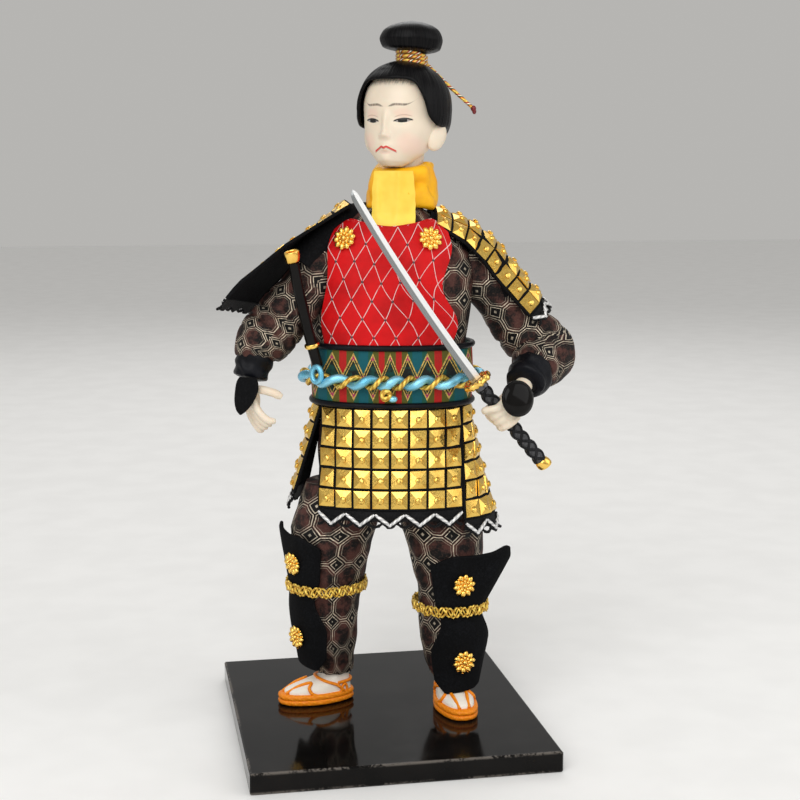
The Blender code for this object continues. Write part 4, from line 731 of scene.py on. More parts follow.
def skirt_point(start, low_start, reach, drop, out):
    """A point of the skirt from its reach round the doll, its drop from the belt and its push.

    The panel's middle is at the turn start by the belt and at low_start by its lower edge.
    """
    wide, deep = trunk_section(BELT_BOTTOM)
    flats = []
    for grow_x, grow_y, begin in ((0.9 * MM, 0.9 * MM, start), (13.9 * MM, 9.9 * MM, low_start)):
        key = (grow_x, begin, round(reach, 6))
        if key not in SKIRT_CACHE:
            SKIRT_CACHE[key] = arc_turn(wide + grow_x, deep + grow_y, begin, reach)
        flats.append(section_point(wide + grow_x, deep + grow_y, SKIRT_CACHE[key], out))
    flat = flats[0] + (flats[1] - flats[0]) * (drop / SKIRT_DROP)
    return turned(flat, BELT_BOTTOM - GAP - drop)


def leg_table(side):
    """Height share, centre x and y and half width and depth of a trouser leg, in millimetres."""
    x, y = FEET[side][0]
    if side == "right":
        return ((0.0, x, y, 7.6, 7.6), (0.06, x - 1, y, 10.0, 10.0), (0.2, x - 3, y, 12.6, 12.2),
                (0.34, x - 2.8, y, 13.6, 13.2), (0.48, x - 2.6, y - 0.5, 14.6, 14.0),
                (0.62, x - 1.6, y - 1, 16.6, 16.4), (0.76, x - 0.4, y - 2, 18.6, 18.0),
                (0.9, x + 2.4, y - 3, 17.6, 17.6), (1.0, x + 4.6, y - 4, 16.8, 17.0))
    return ((0.0, x, y, 7.6, 7.6), (0.06, x, y, 10.0, 10.0), (0.2, x, y, 12.8, 12.4),
            (0.34, x, y + 1, 13.4, 13.0), (0.48, x + 0.1, y + 2, 14.0, 13.6),
            (0.62, x - 0.8, y + 4, 16.0, 15.6), (0.76, x - 2.2, y + 6, 17.6, 17.6),
            (0.9, x - 4.4, y + 8, 17.4, 17.6), (1.0, x - 5.6, y + 9.5, 16.8, 17.0))


def leg_point(side, part, turn, out):
    """A point of a trouser leg at a share of its height, pushed out."""
    x, y, wide, deep = blend(leg_table(side), part)
    ahead = heading(turn)
    reach = Vector((ahead.x * (wide * MM + out), ahead.y * (deep * MM + out), 0.0))
    return Vector((x * MM, y * MM, ANKLE + part * (LEG_LENGTH - GAP))) + reach


def shin_place(side, reach, height, out):
    """A point on a shin guard from its reach round the leg and its height over the base."""
    x, y, wide, deep = blend(leg_table(side), (height + FLOOR - ANKLE) / LEG_LENGTH)
    radius = max(max(wide, deep) * MM + 0.9 * MM, 13.6 * MM)
    turn = SHIN_TURNS[side] + reach / radius
    return Vector((x * MM, y * MM, FLOOR + height)) + heading(turn) * (radius + out)


HEAD_TABLE = ((0.0, 0.24, 0.68, -0.2), (0.05, 0.42, 0.83, 0.05), (0.15, 0.66, 0.92, 0.38),
              (0.25, 0.81, 0.94, 0.63), (0.36, 0.915, 0.95, 0.83), (0.48, 0.975, 0.95, 0.95),
              (0.6, 1.0, 0.985, 1.0))


def head_frame():
    """The matrix that takes a point of the head, chin at its origin, to its place."""
    pivot = Vector((0, 0, HEAD_HEIGHT / 2))
    base = Vector((TRUNK_X + 4.4 * MM, TRUNK_Y - 1.5 * MM, HIP + CHIN_HEIGHT))
    return (Matrix.Translation(base + pivot) @ Matrix.Rotation(HEAD_TURN, 4, "Z")
            @ Matrix.Rotation(-HEAD_NOD, 4, "X") @ Matrix.Translation(-pivot))


HEAD = head_frame()


def head_shape(share, out):
    """Half width, front and back reach of the head at a share of its height."""
    if share <= 0.6:
        wide, front, back = ease(HEAD_TABLE, share)
        dome = 1.0
    else:
        wide, front, back = 1.0, 0.985, 1.0
        crown = 1.0 + out / HEAD_HEIGHT
        dome = sqrt(max(0.0, 1 - ((share - 0.6) / (crown - 0.6)) ** 2.3))
    grow = out if share > 0.1 else 0.0
    return ((wide * HEAD_HALF_WIDTH + grow) * dome, (front * HEAD_FRONT + grow) * dome,
            (back * HEAD_BACK + grow) * dome)


def face_relief(turn, share):
    """Nose, lips, chin and brow standing out of the face, with the eyes set in it."""
    def bump(at, wide, height, tall):
        return exp(-((turn - at) / wide) ** 2) * exp(-((share - height) / tall) ** 2)
    tip = 1.9 * bump(0, 0.11, 0.285, 0.035)
    ridge = sum(0.75 * bump(0, 0.085, level, 0.05) for level in (0.33, 0.38, 0.43, 0.48))
    wings = 0.7 * (bump(0.12, 0.06, 0.275, 0.025) + bump(-0.12, 0.06, 0.275, 0.025))
    lips = 0.75 * bump(0, 0.17, 0.19, 0.02) + 0.7 * bump(0, 0.13, 0.155, 0.02)
    lips += 0.4 * bump(0, 0.3, 0.17, 0.06)
    chin = 0.8 * bump(0, 0.25, 0.06, 0.05) - 0.35 * bump(0, 0.2, 0.115, 0.022)
    eyes = -0.95 * (bump(0.42, 0.2, 0.43, 0.045) + bump(-0.42, 0.2, 0.43, 0.045))
    lids = 0.5 * (bump(0.42, 0.17, 0.437, 0.018) + bump(-0.42, 0.17, 0.437, 0.018))
    brow = 0.35 * (bump(0.4, 0.3, 0.56, 0.06) + bump(-0.4, 0.3, 0.56, 0.06))
    cheeks = 0.4 * (bump(0.75, 0.3, 0.27, 0.1) + bump(-0.75, 0.3, 0.27, 0.1))
    return (tip + ridge + wings + lips + chin + eyes + lids + brow + cheeks) * MM


def head_point(turn, share, out, relief=False):
    """A point of the head's surface. Turn 0 is the face."""
    wide, front, back = head_shape(share, out)
    ahead = cos(turn)
    local = Vector((sin(turn) * wide, -(front - back) / 2 - ahead * (front + back) / 2,
                    share * HEAD_HEIGHT))
    if relief and abs(turn) < 1.5:
        local += Vector((sin(turn), -ahead, 0.0)) * face_relief(turn, share)
    return HEAD @ local


HAIRLINE = ((0.0, 0.84), (0.48, 0.84), (0.7, 0.8), (0.88, 0.66), (1.02, 0.51), (1.25, 0.44),
            (1.4, 0.425), (1.65, 0.42), (1.9, 0.41), (2.2, 0.37), (pi, 0.33))


def neck_centre(up):
    """The middle of the neck at a height over the trunk."""
    foot_at = Vector((TRUNK_X + 3.3 * MM, TRUNK_Y - 0.45 * MM, HIP + TRUNK_HEIGHT + GAP))
    top_at = HEAD @ Vector((0, 3.5 * MM, -1.0 * MM))
    return foot_at.lerp(top_at, up / (top_at.z - foot_at.z))


GUARD_ROUTES = {
    "right": (((-18.5, 7.2, 118.6), (-28, 5.4, 110.4), (-42, 0.7, 99.6), (-52, -2, 90.2),
               (-59, -2.8, 84), (-64.5, -3.5, 77)),
              ((0.1, 0.99, -0.05), (0.2, 0.97, -0.1), (0.32, 0.92, -0.15), (0.42, 0.88, -0.15),
               (0.48, 0.86, -0.15), (0.5, 0.85, -0.15)),
              (40, 60, 90, 120, 150, 150)),
    "left": (((17.5, 1, 115.5), (26.0, 1, 112.6), (34.5, 0.8, 109.0), (43.0, 0.5, 102.5),
              (49.5, 0, 95.0), (56.0, -0.5, 87.5), (63.0, -1, 79), (69.4, -1.5, 71.5)),
             ((0.0, 1.0, 0.0),) * 8,
             (24, 20, 16.5, 14.6, 13.8, 13.6, 14.4, 15.4)),
}


def guard_point(side, reach, along, out):
    """A point of a shoulder guard: reach across it, distance from the neck and push outward."""
    points, ways, bends = GUARD_ROUTES[side]
    points = [from_hip(*point) for point in points]
    ways = [Vector(way).normalized() for way in ways]
    walked = 0.0
    last = len(points) - 2
    for k in range(last + 1):
        run = points[k + 1] - points[k]
        if walked + run.length >= along or k == last:
            break
        walked += run.length
    part = (along - walked) / run.length
    centre = points[k] + run * part
    before = points[k] - points[max(k - 1, 0)] if k else run
    after = points[min(k + 2, last + 1)] - points[k + 1] if k < last else run
    ahead = ((before + run) * (1 - part) + (run + after) * part).normalized()
    way = (ways[k].lerp(ways[k + 1], part)).normalized()
    outward = way.cross(ahead).normalized()
    if outward.z < 0:
        outward = -outward
    bend = (bends[k] + (bends[k + 1] - bends[k]) * part) * MM
    turn = reach / bend
    return (centre + way * (bend + out) * sin(turn) - outward * bend * (1 - cos(turn))
            + outward * out * cos(turn))


def sword_point(along, up, out):
    """A point of the sword from the end of its grip, in metres."""
    end = from_hip(58.5, -37.0, 10.0)
    tip = from_hip(-24.5, -37.0, 126.0)
    ahead = (tip - end).normalized()
    face = Vector((0, -1, 0))
    rise = face.cross(ahead)
    bow = 3.3 * MM * (1 - (2 * along / SWORD_LENGTH - 1) ** 2)
    return end + ahead * along + rise * (up + bow) + face * out


def scabbard_point(along, side, out):
    """A point of the scabbard from its mouth."""
    mouth = from_hip(-44.8, -19.4, 99.2)
    foot_at = from_hip(-32.6, -10.4, 48.8)
    ahead = (foot_at - mouth).normalized()
    level = ahead.cross(Vector((0, -1, 0))).normalized()
    front = level.cross(ahead)
    bow = 0.8 * MM * (1 - (2 * along / (foot_at - mouth).length - 1) ** 2)
    return mouth + ahead * along + level * (side + bow) + front * out


# Mesh builders

def new_mesh():
    """An empty bmesh with a layer for the cloth coordinates."""
    bm = bmesh.new()
    bm.loops.layers.uv.new("pattern")
    return bm


def mapped(columns, rows, place, size):
    """A grid of faces put in place by place(u, v), with its cloth coordinates in metres."""
    bm = new_mesh()
    bmesh.ops.create_grid(bm, x_segments=columns, y_segments=rows, size=0.5)
    layer = bm.loops.layers.uv.active
    for face in bm.faces:
        for loop in face.loops:
            at = loop.vert.co
            loop[layer].uv = ((at.x + 0.5) * size[0], (at.y + 0.5) * size[1])
    for vert in bm.verts:
        vert.co = place(vert.co.x + 0.5, vert.co.y + 0.5)
    return bm


def wrapped(columns, rows, place, size, ends=True):
    """A mapped grid whose first and last columns meet, with its ends closed."""
    bm = mapped(columns, rows, place, size)
    bmesh.ops.remove_doubles(bm, verts=bm.verts, dist=2e-6)
    if ends:
        rim = [edge for edge in bm.edges if edge.is_boundary]
        made = bmesh.ops.holes_fill(bm, edges=rim, sides=0)["faces"]
        bmesh.ops.poke(bm, faces=made)
    return bm


def frames(points, closed, hint):
    """Point, tangent, side and front along a path, turning as little as they can."""
    count = len(points)
    found = []
    side = None
    for i, point in enumerate(points):
        after = points[(i + 1) % count] if closed else points[min(i + 1, count - 1)]
        before = points[i - 1] if closed or i else points[0]
        tangent = (after - before).normalized()
        guide = side if side is not None else hint
        side = guide - tangent * guide.dot(tangent)
        if side.length < 1e-6:
            side = tangent.orthogonal()
        side = side.normalized()
        found.append((point, tangent, side, tangent.cross(side)))
    return found


def swept(points, radius, sides=10, closed=False, lobes=0, lay=0.0, depth=0.0, hint=UP, flat=1.0):
    """A round or lobed cord along a path. Lay is the twist of its lobes in turns over the path."""
    path = frames(points, closed, hint)
    count = len(path) if closed else len(path) - 1
    length = sum((points[(k + 1) % len(points)] - points[k]).length for k in range(count))

    def place(u, v):
        k = v * count
        low = min(int(k + 1e-6), count - 1)
        part = k - low
        first = path[low]
        second = path[(low + 1) % len(path)]
        centre = first[0].lerp(second[0], part)
        side = first[2].lerp(second[2], part).normalized()
        front = first[3].lerp(second[3], part).normalized()
        turn = tau * u
        reach = radius(v) if callable(radius) else radius
        if lobes:
            reach *= 1 - depth * (1 - abs(cos((turn * lobes + tau * lay * v) / 2)))
        return centre + side * reach * cos(turn) + front * reach * flat * sin(turn)

    size = (tau * (radius(0.5) if callable(radius) else radius), length)
    return wrapped(sides, count, place, size, ends=not closed)


def mesh_of(name, bm):
    """A mesh with a bmesh's faces. The bmesh is freed."""
    mesh = bpy.data.meshes.new(name)
    bm.to_mesh(mesh)
    bm.free()
    return mesh


def gather(parts, outward=True):
    """One bmesh from several, which are freed. Their faces are turned outward first if asked."""
    whole = new_mesh()
    for part in parts:
        if outward:
            bmesh.ops.recalc_face_normals(part, faces=part.faces)
        step = mesh_of("step", part)
        whole.from_mesh(step)
        bpy.data.meshes.remove(step)
    return whole


def bridged(bm, chosen=lambda edge: True):
    """Join two open rims with a band of faces."""
    rims = [edge for edge in bm.edges if edge.is_boundary and chosen(edge)]
    bmesh.ops.bridge_loops(bm, edges=rims)
    return bm


def bead(centre, radius, flat=(1, 1, 1), turn=None, detail=2):
    """A small ball, flattened and turned if asked."""
    bm = new_mesh()
    bmesh.ops.create_icosphere(bm, subdivisions=detail, radius=radius)
    bmesh.ops.scale(bm, verts=bm.verts, vec=flat)
    if turn is not None:
        bmesh.ops.rotate(bm, verts=bm.verts, cent=(0, 0, 0), matrix=turn)
    bmesh.ops.translate(bm, verts=bm.verts, vec=centre)
    return bm


def facing(normal, along=None):
    """A turn that takes Z to a normal and X towards a direction."""
    z = normal.normalized()
    x = along if along is not None else z.orthogonal()
    x = (x - z * x.dot(z)).normalized()
    return Matrix((x, z.cross(x), z)).transposed()


def piece(name, bm, finish, slot, replaces=(), angle=50, outward=True):
    """Turn a bmesh into a finished piece that rides on the doll."""
    if outward:
        bmesh.ops.recalc_face_normals(bm, faces=bm.faces)
    mesh = mesh_of(name, bm)
    mesh.materials.append(finish)
    mesh.shade_smooth()
    mesh.set_sharp_from_angle(angle=radians(angle))
    obj = bpy.data.objects.new(name, mesh)
    bpy.context.collection.objects.link(obj)
    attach(obj, "root")
    if replaces:
        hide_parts(*replaces)
    return obj


def dress_node(node, name):
    """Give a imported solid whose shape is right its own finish."""
    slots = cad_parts[node].data.materials
    slots.clear()
    slots.append(look(name))


def fold(place, scale, seed=0.0):
    """A smooth random height from -1 to 1 at a place, the same each run."""
    return noise.noise(Vector(place) * scale + Vector((seed, seed * 1.7, -seed)))


def apply_steps(obj):
    """Turn a piece's modifiers into plain geometry."""
    graph = bpy.context.evaluated_depsgraph_get()
    mesh = bpy.data.meshes.new_from_object(obj.evaluated_get(graph))
    obj.modifiers.clear()
    obj.data = mesh


# Pieces that repeat

def rosette_mesh(centre, normal):
    """A gilt rosette: a dished plate, a ring of petals, a ring of beads and a boss."""
    radius = 4.8 * MM
    turn = facing(normal)
    parts = [bead(centre, radius * 0.86, (1, 1, 0.22), turn, 3)]
    for count, share, size, long, lift in ((10, 0.74, 0.27, 1.25, 0.7), (8, 0.4, 0.15, 1.0, 1.15)):
        for k in range(count):
            at = tau * k / count
            away = turn @ Vector((cos(at), sin(at), 0))
            spot = centre + away * radius * share + turn @ Vector((0, 0, lift * MM))
            parts.append(bead(spot, radius * size, (long, 0.92, 0.85), facing(normal, away)))
    parts.append(bead(centre + turn @ Vector((0, 0, 1.3 * MM)), radius * 0.22, (1, 1, 0.9), turn))
    return gather(parts)


def stud_template():
    """One square pyramid stud with a raised foot and a round boss on its point, in a unit cell."""
    bm = new_mesh()
    bmesh.ops.create_grid(bm, x_segments=1, y_segments=1, size=0.443)
    top = bm.faces[:]
    raised = bmesh.ops.extrude_face_region(bm, geom=top)["geom"]
    bmesh.ops.delete(bm, geom=top, context="FACES")
    rim = [item for item in raised if isinstance(item, bmesh.types.BMVert)]
    bmesh.ops.translate(bm, verts=rim, vec=(0, 0, 0.06))
    bmesh.ops.scale(bm, verts=rim, vec=(0.97, 0.97, 1))
    made = bmesh.ops.poke(bm, faces=[item for item in raised if isinstance(item, bmesh.types.BMFace)])
    bmesh.ops.translate(bm, verts=made["verts"], vec=(0, -0.03, 0.12))
    boss = bmesh.ops.create_uvsphere(bm, u_segments=12, v_segments=6, radius=0.175)["verts"]
    bmesh.ops.scale(bm, verts=boss, vec=(1, 1, 0.62))
    bmesh.ops.translate(bm, verts=boss, vec=(0, -0.04, 0.155))
    return mesh_of("stud_template", bm)


def studs_on(place, columns, rows, rise):
    """A grid of studs over a panel's cloth, each tilted a little in its own way."""
    template = stud_template()
    bm = new_mesh()
    for i in range(columns):
        for j in range(rows):
            known = len(bm.verts)
            lean = [0.085 * sin(i * 12.9 + j * 78.2 + extra) for extra in (0.0, 2.4)]
            bm.from_mesh(template)
            for vert in bm.verts[:][known:]:
                x, y, lift = vert.co
                if lift > 0:
                    lift += x * lean[0] + y * lean[1]
                push = ARMOUR_CLOTH + lift * STUD_PITCH * rise
                vert.co = place((i + 0.5 + x) / columns, (j + 0.5 - y) / rows, push)
    bpy.data.meshes.remove(template)
    return bm


def panel_cloth(place, columns, rows, size, thickness):
    """A closed sheet of cloth between two pushes of the same place function."""
    front = mapped(columns, rows, lambda u, v: place(u, v, thickness), size)
    back = mapped(columns, rows, lambda u, v: place(u, v, 0.0), size)
    bmesh.ops.reverse_faces(back, faces=back.faces)
    return bridged(gather((front, back), outward=False))


def edging(place, corners, radius, steps=14):
    """A cord along the edges of a panel, through a list of (u, v) corners."""
    points = []
    for (u1, v1), (u2, v2) in zip(corners, corners[1:]):
        for k in range(steps):
            part = k / steps
            points.append(place(u1 + (u2 - u1) * part, v1 + (v2 - v1) * part, radius * 0.6))
    points.append(place(*corners[-1], radius * 0.6))
    return swept(points, radius, 8)


def zigzag(edge, count, depth):
    """Silver threads that run up and down along an edge, with a bead at each low corner."""
    high, low = 0.2, 0.85

    def thickness(v):
        return 0.8 * MM * (0.7 + 0.3 * sin(pi * min(max(v, 0.0), 1.0)) ** 0.5)

    silver = []
    for k in range(2 * count):
        start, end = (high, low) if k % 2 == 0 else (low, high)
        points = []
        for step in range(7):
            part = 0.03 + 0.94 * step / 6
            points.append(edge((k + part) / (2 * count), depth * (start + (end - start) * part), 1.1 * MM))
        silver.append(swept(points, thickness, 8))
        if k % 2 == 0:
            silver.append(bead(edge((k + 1) / (2 * count), depth * low, 1.2 * MM), 0.85 * MM, (1, 1, 0.8)))
    return gather(silver)


def lace_pieces(name, node, edge, width, period=12.7 * MM, depth=7.0 * MM):
    """Lace below a panel: a scalloped black band, waving cords and a silver zigzag with beads."""
    count = max(1, round(width / period))

    def wave(u, phase=0.0):
        return 0.5 - 0.5 * cos(tau * (u * count + phase))

    def band(u, v, out):
        return edge(u, v * (depth * (0.62 + 0.3 * wave(u))), out + 0.05 * MM)

    piece(name + "_band", panel_cloth(band, 12 * count, 4, (width, depth), LACE_CLOTH), look("lace"),
          "black_lace", (node,))
    cords = []
    steps = 16 * count
    for low, high, phase in ((0.3, 0.98, 0.0), (0.16, 0.84, 0.0), (0.5, 0.95, 0.5)):
        points = []
        for k in range(steps + 1):
            drop = low + (high - low) * wave(k / steps, phase)
            points.append(edge(k / steps, depth * drop, 0.8 * MM))
        cords.append(swept(points, lambda v: (0.62 + 0.16 * sin(v * count * 60)) * MM, 7))
    piece(name + "_cords", gather(cords), look("lace"), "black_lace")
    piece(name + "_silver", zigzag(edge, count, depth), look("silver_thread"), "bright_steel")


def armour_panel(name, node, place, columns, rows, length, share=1.0):
    """A studded panel: its cloth, its studs and the cord along its edges.

    Place takes the share across, the share down and the push outward.
    """
    width = columns * STUD_PITCH
    rise = share * bpy.context.scene.doll_sizes.stud_rise
    piece(name + "_cloth", panel_cloth(place, columns * 4, rows * 4, (width, length), ARMOUR_CLOTH),
          look("black_cloth"), "black_lace")
    piece(name + "_studs", studs_on(place, columns, rows, rise), look("stud"), "gilded_metal",
          (node,), angle=12, outward=False)
    cord = edging(place, ((0.0, 0.0), (0.0, 1.0), (1.0, 1.0), (1.0, 0.0)), 0.75 * MM)
    piece(name + "_edge", cord, look("black_cloth"), "black_lace")


# Feet and legs

def blunted(turn, power):
    """Cosine and sine of a turn, drawn out towards a rounded rectangle."""
    wide, deep = cos(turn), sin(turn)
    return abs(wide) ** power * (1 if wide > 0 else -1), abs(deep) ** power * (1 if deep > 0 else -1)


def foot_surface(side, share, part, out):
    """A point of a foot: share round it from the toe, part of its height over the sole."""
    (x, y), turn = FEET[side]
    at = Vector((x * MM, y * MM, FLOOR + GAP))
    heel = HEEL_SHARE * FOOT_LENGTH * SOCK_SHARE
    toe = heel + FOOT_LENGTH * SOCK_SHARE + 0.4 * MM
    settle = smooth_step((part - 0.12) / 0.78)
    toe_now = toe * (1 - settle) + ANKLE_RADIUS * settle
    heel_now = heel * (1 - settle) - ANKLE_RADIUS * settle
    wide = FOOT_WIDTH / 2 * SOCK_SHARE * (1 - settle) + ANKLE_RADIUS * 0.9 * settle
    round_part = tau * share
    waist = 1.0 - 0.12 * (1 - settle) * max(0.0, -cos(round_part)) - 0.06 * abs(sin(2 * round_part))
    long_way, side_way = blunted(round_part, 0.78 + 0.22 * settle)
    split = exp(-((share if share < 0.5 else share - 1.0) - 0.045) ** 2 / 0.0002) * (1 - settle) * 1.5 * MM
    level = SOLE + (FOOT_HEIGHT - 0.6 * MM - SOLE) * part
    ahead = heading(turn) * ((toe_now + heel_now) / 2
                             + ((toe_now - heel_now) / 2 + out - split) * long_way)
    left = across_of(turn) * ((wide * waist + out) * side_way)
    bulge = 0.0 if part <= 0 else 0.5 * MM * sin(pi * min(1.0, part * 1.6))
    return at + ahead + left + UP * (level + bulge * 0.3)


def sole_point(side, share, level, scale):
    """A point of a sandal's sole outline at a level."""
    (x, y), turn = FEET[side]
    at = Vector((x * MM, y * MM, FLOOR + GAP + level))
    middle = (HEEL_SHARE + 0.5) * FOOT_LENGTH
    round_part = tau * share
    waist = 1.0 - 0.12 * max(0.0, -cos(round_part)) - 0.06 * abs(sin(2 * round_part))
    long_way, side_way = blunted(round_part, 0.84)
    ahead = middle * 0.96 + FOOT_LENGTH / 2 * scale * long_way
    left = FOOT_WIDTH / 2 * scale * waist * side_way * 1.04
    return at + heading(turn) * ahead + across_of(turn) * left


def foot_pieces(side):
    """A white split-toed sock in an orange sandal with its straps."""
    def sock(u, v):
        return foot_surface(side, u, v, 0.0)

    piece(side + "_sock", wrapped(64, 22, sock, (0.1, 0.02)), look("tabi"), "sandalled_foot",
          (side + "_foot",))
    levels = ((0.0, 0.93), (0.1, 0.985), (0.28, 1.0), (0.42, 0.985), (0.5, 0.95), (0.58, 0.985),
              (0.74, 1.0), (0.9, 0.985), (1.0, 0.93), (1.02, 0.8))

    def sole(u, v):
        level, scale = blend([(k / (len(levels) - 1), *row) for k, row in enumerate(levels)], v)
        return sole_point(side, u, level * (SOLE + 0.6 * MM), scale)

    piece(side + "_sole", wrapped(64, 18, sole, (0.1, 0.006)), look("sandal"), "sandalled_foot", angle=70)
    over = ((0.03, 0.08), (0.06, 0.42), (0.1, 0.55), (0.17, 0.36), (0.22, 0.1), (0.25, -0.05))
    cross = ((0.36, 0.02), (0.3, 0.4), (0.2, 0.62), (0.08, 0.72), (0.0, 0.74), (-0.06, 0.72))
    loop = ((0.33, -0.1), (0.345, 0.3), (0.37, 0.34), (0.39, -0.1))
    heel = [(share, 0.5) for share in (0.3, 0.36, 0.42, 0.5, 0.58, 0.64, 0.7)]
    straps = []
    for marks, spots, out, radius, steps in (((1, -1), over, 0.55, 0.72, 5), ((1, -1), cross, 0.6, 0.66, 5),
                                             ((1, -1), loop, 0.5, 0.6, 5), ((1,), heel, 0.55, 0.7, 4)):
        for mark in marks:
            path = [foot_surface(side, (mark * share) % 1.0, part, out * MM) for share, part in spots]
            straps.append(swept(route(path, steps), radius * MM, 8))
    piece(side + "_sandal_straps", gather(straps), look("sandal"), "sandalled_foot")


def leg_pieces(side):
    """A padded brocade trouser leg with soft folds."""
    seed = 3.0 if side == "right" else 11.0

    def place(u, v):
        turn = tau * u
        spot = leg_point(side, v, turn, 0.0)
        crease = 0.9 * MM * fold(spot, 75, seed) + 0.5 * MM * fold(spot, 170, seed)
        gathers = 0.55 * MM * sin(turn * 9 + 3 * fold(spot, 60, seed)) * max(0.0, 1 - v * 5)
        return leg_point(side, v, turn, crease + gathers)

    obj = piece(side + "_trousers", wrapped(96, 80, place, (0.09, LEG_LENGTH)), look("brocade"),
                "dark_brocade", (side + "_trouser_leg",))


def shin_sheet(side):
    """The place function of a shin guard."""
    horn = 1.0 if side == "left" else -1.0
    inner = ((0.0, -11.0), (0.3, -9.5), (0.45, -7.0), (0.55, -7.2), (0.75, -11.0), (1.0, -9.5))
    outer = ((0.0, 17.5), (0.12, 17.0), (0.45, 11.0), (0.68, 16.5), (0.85, 14.0), (1.0, 10.0))
    top = ((0.0, 61.0), (0.3, 64.8), (0.6, 65.0), (0.8, 66.4), (0.93, 68.4), (1.0, 67.6))
    bottom = ((0.0, 11.4), (0.22, 6.2), (0.85, 7.6), (1.0, 8.8))
    spread = 10.5 * MM if side == "left" else 3.0 * MM

    def place(u, v, out):
        start = ease(inner, v)[0]
        end = ease(outer, v)[0]
        high = ease(top, u)[0]
        low = blend(bottom, u)[0]
        reach = horn * (start + (end - start) * u) * MM
        lift = smooth_step((u - 0.5) / 0.5) * min(1.0, max(0.0, (0.46 - v) / 0.4)) * spread
        lift += smooth_step((u - 0.5) / 0.5) * exp(-((v - 0.66) / 0.14) ** 2) * 2.0 * MM
        height = (high + (low - high) * v) * MM + SHIN_LIFTS[side]
        dent = 0.25 * MM * fold((reach, height, 0.0), 90, 5.0)
        return shin_place(side, reach, height, out + lift + dent)
    return place


def shin_braid(side, height):
    """Gold braid of crossing cords round a shin, lifted over the guard."""
    horn = 1.0 if side == "left" else -1.0
    x, y, wide, deep = blend(leg_table(side), (height + FLOOR - ANKLE) / LEG_LENGTH)
    middle = Vector((x * MM, y * MM, FLOOR + height))
    radius = max(max(wide, deep) * MM + 1.2 * MM, 13.9 * MM)
    waves = round(tau * radius / (5.3 * MM))
    steps = waves * 10
    strands = []
    for phase, lift, swing, thick in ((0.0, 0.0, 1.95, 0.5), (pi, 0.35, 1.95, 0.5), (pi / 2, 0.2, 2.3, 0.36)):
        points = []
        for k in range(steps):
            turn = tau * k / steps
            near = (turn + pi) % tau - pi
            on_guard = smooth_step((1.25 - abs(near - 0.06 * horn)) / 0.3) * 1.4 * MM
            reach = radius + on_guard + (0.9 + lift * cos(turn * waves * 2)) * MM
            rise = swing * MM * sin(turn * waves + phase)
            points.append(middle + heading(SHIN_TURNS[side] + near) * reach + UP * rise)
        strands.append(swept(points, thick * MM, 7, closed=True))
    return gather(strands)


def shin_pieces(side):
    """Felt shin guard with a bound edge, its braid and its rosettes."""
    place = shin_sheet(side)
    piece(side + "_shin_felt", panel_cloth(place, 30, 44, (0.024, 0.064), FELT), look("felt"),
          "black_felt", (side + "_shin_guard",))
    rim = edging(place, ((0, 0), (1, 0), (1, 1), (0, 1), (0, 0)), 0.8 * MM, 24)
    piece(side + "_shin_binding", rim, look("black_cloth"), "black_felt")
    piece(side + "_braid", shin_braid(side, 42.0 * MM + SHIN_LIFTS[side]), look("gold_thread"), "gold_braid",
          (side + "_shin_braid",))
    reach = (1.5 if side == "left" else -1.5) * MM
    for label, drawn in (("upper", 53.5 * MM), ("lower", 20.0 * MM)):
        height = drawn + SHIN_LIFTS[side]
        spot = shin_place(side, reach, height, 2.0 * MM)
        beside = shin_place(side, reach + MM, height, 2.0 * MM)
        above = shin_place(side, reach, height + MM, 2.0 * MM)
        normal = (beside - spot).cross(above - spot)
        piece(f"{side}_shin_flower_{label}", rosette_mesh(spot, normal), look("gold"), "gilded_metal",
              (f"{side}_shin_rosette_{label}",))


# Trunk, chest, belt and skirt

def trunk_pieces():
    """The padded jacket over the trunk."""
    def place(u, v):
        turn = tau * u
        spot = trunk_point(turn, v * TRUNK_HEIGHT, 0.0)
        full = 1.6 * MM * exp(-((v - 0.57) / 0.08) ** 2) * max(0.0, -sin(turn)) ** 2
        return trunk_point(turn, v * TRUNK_HEIGHT, 0.6 * MM * fold(spot, 60, 2.0) - 0.2 * MM + full)

    obj = piece("jacket", wrapped(120, 80, place, (0.17, TRUNK_HEIGHT)), look("brocade"), "dark_brocade",
                ("torso",))


def chest_sheet():
    """The place function of the red chest panel."""
    bottom = BELT_BOTTOM + BELT_HEIGHT + GAP
    right = ((0.0, -0.8), (0.15, -0.86), (0.45, -0.86), (0.8, -0.98), (1.0, -0.94))
    left = ((0.0, 0.84), (0.15, 0.88), (0.5, 0.74), (0.8, 0.98), (1.0, 0.9))
    top = ((0.0, 0.93), (0.14, 1.0), (0.3, 0.97), (0.5, 0.945), (0.7, 0.97), (0.87, 1.0), (1.0, 0.9))

    def place(u, v, out):
        start = ease(right, v)[0] * CHEST_WIDTH / 2
        end = ease(left, v)[0] * CHEST_WIDTH / 2
        high = bottom + ease(top, u)[0] * CHEST_HEIGHT
        up = high + (bottom - high) * v
        wide, deep = trunk_section(up)
        turn = arc_turn(wide, deep, CHEST_TURN, start + (end - start) * u)
        puff = 0.6 * MM * sin(pi * min(max(u, 0.0), 1.0)) * sin(pi * min(max(v, 0.0), 1.0))
        ripple = 0.35 * MM * fold((u * 0.05, v * 0.05, 0.0), 60, 4.0)
        return trunk_point(turn, up, 1.4 * MM + out + puff + ripple)
    return place


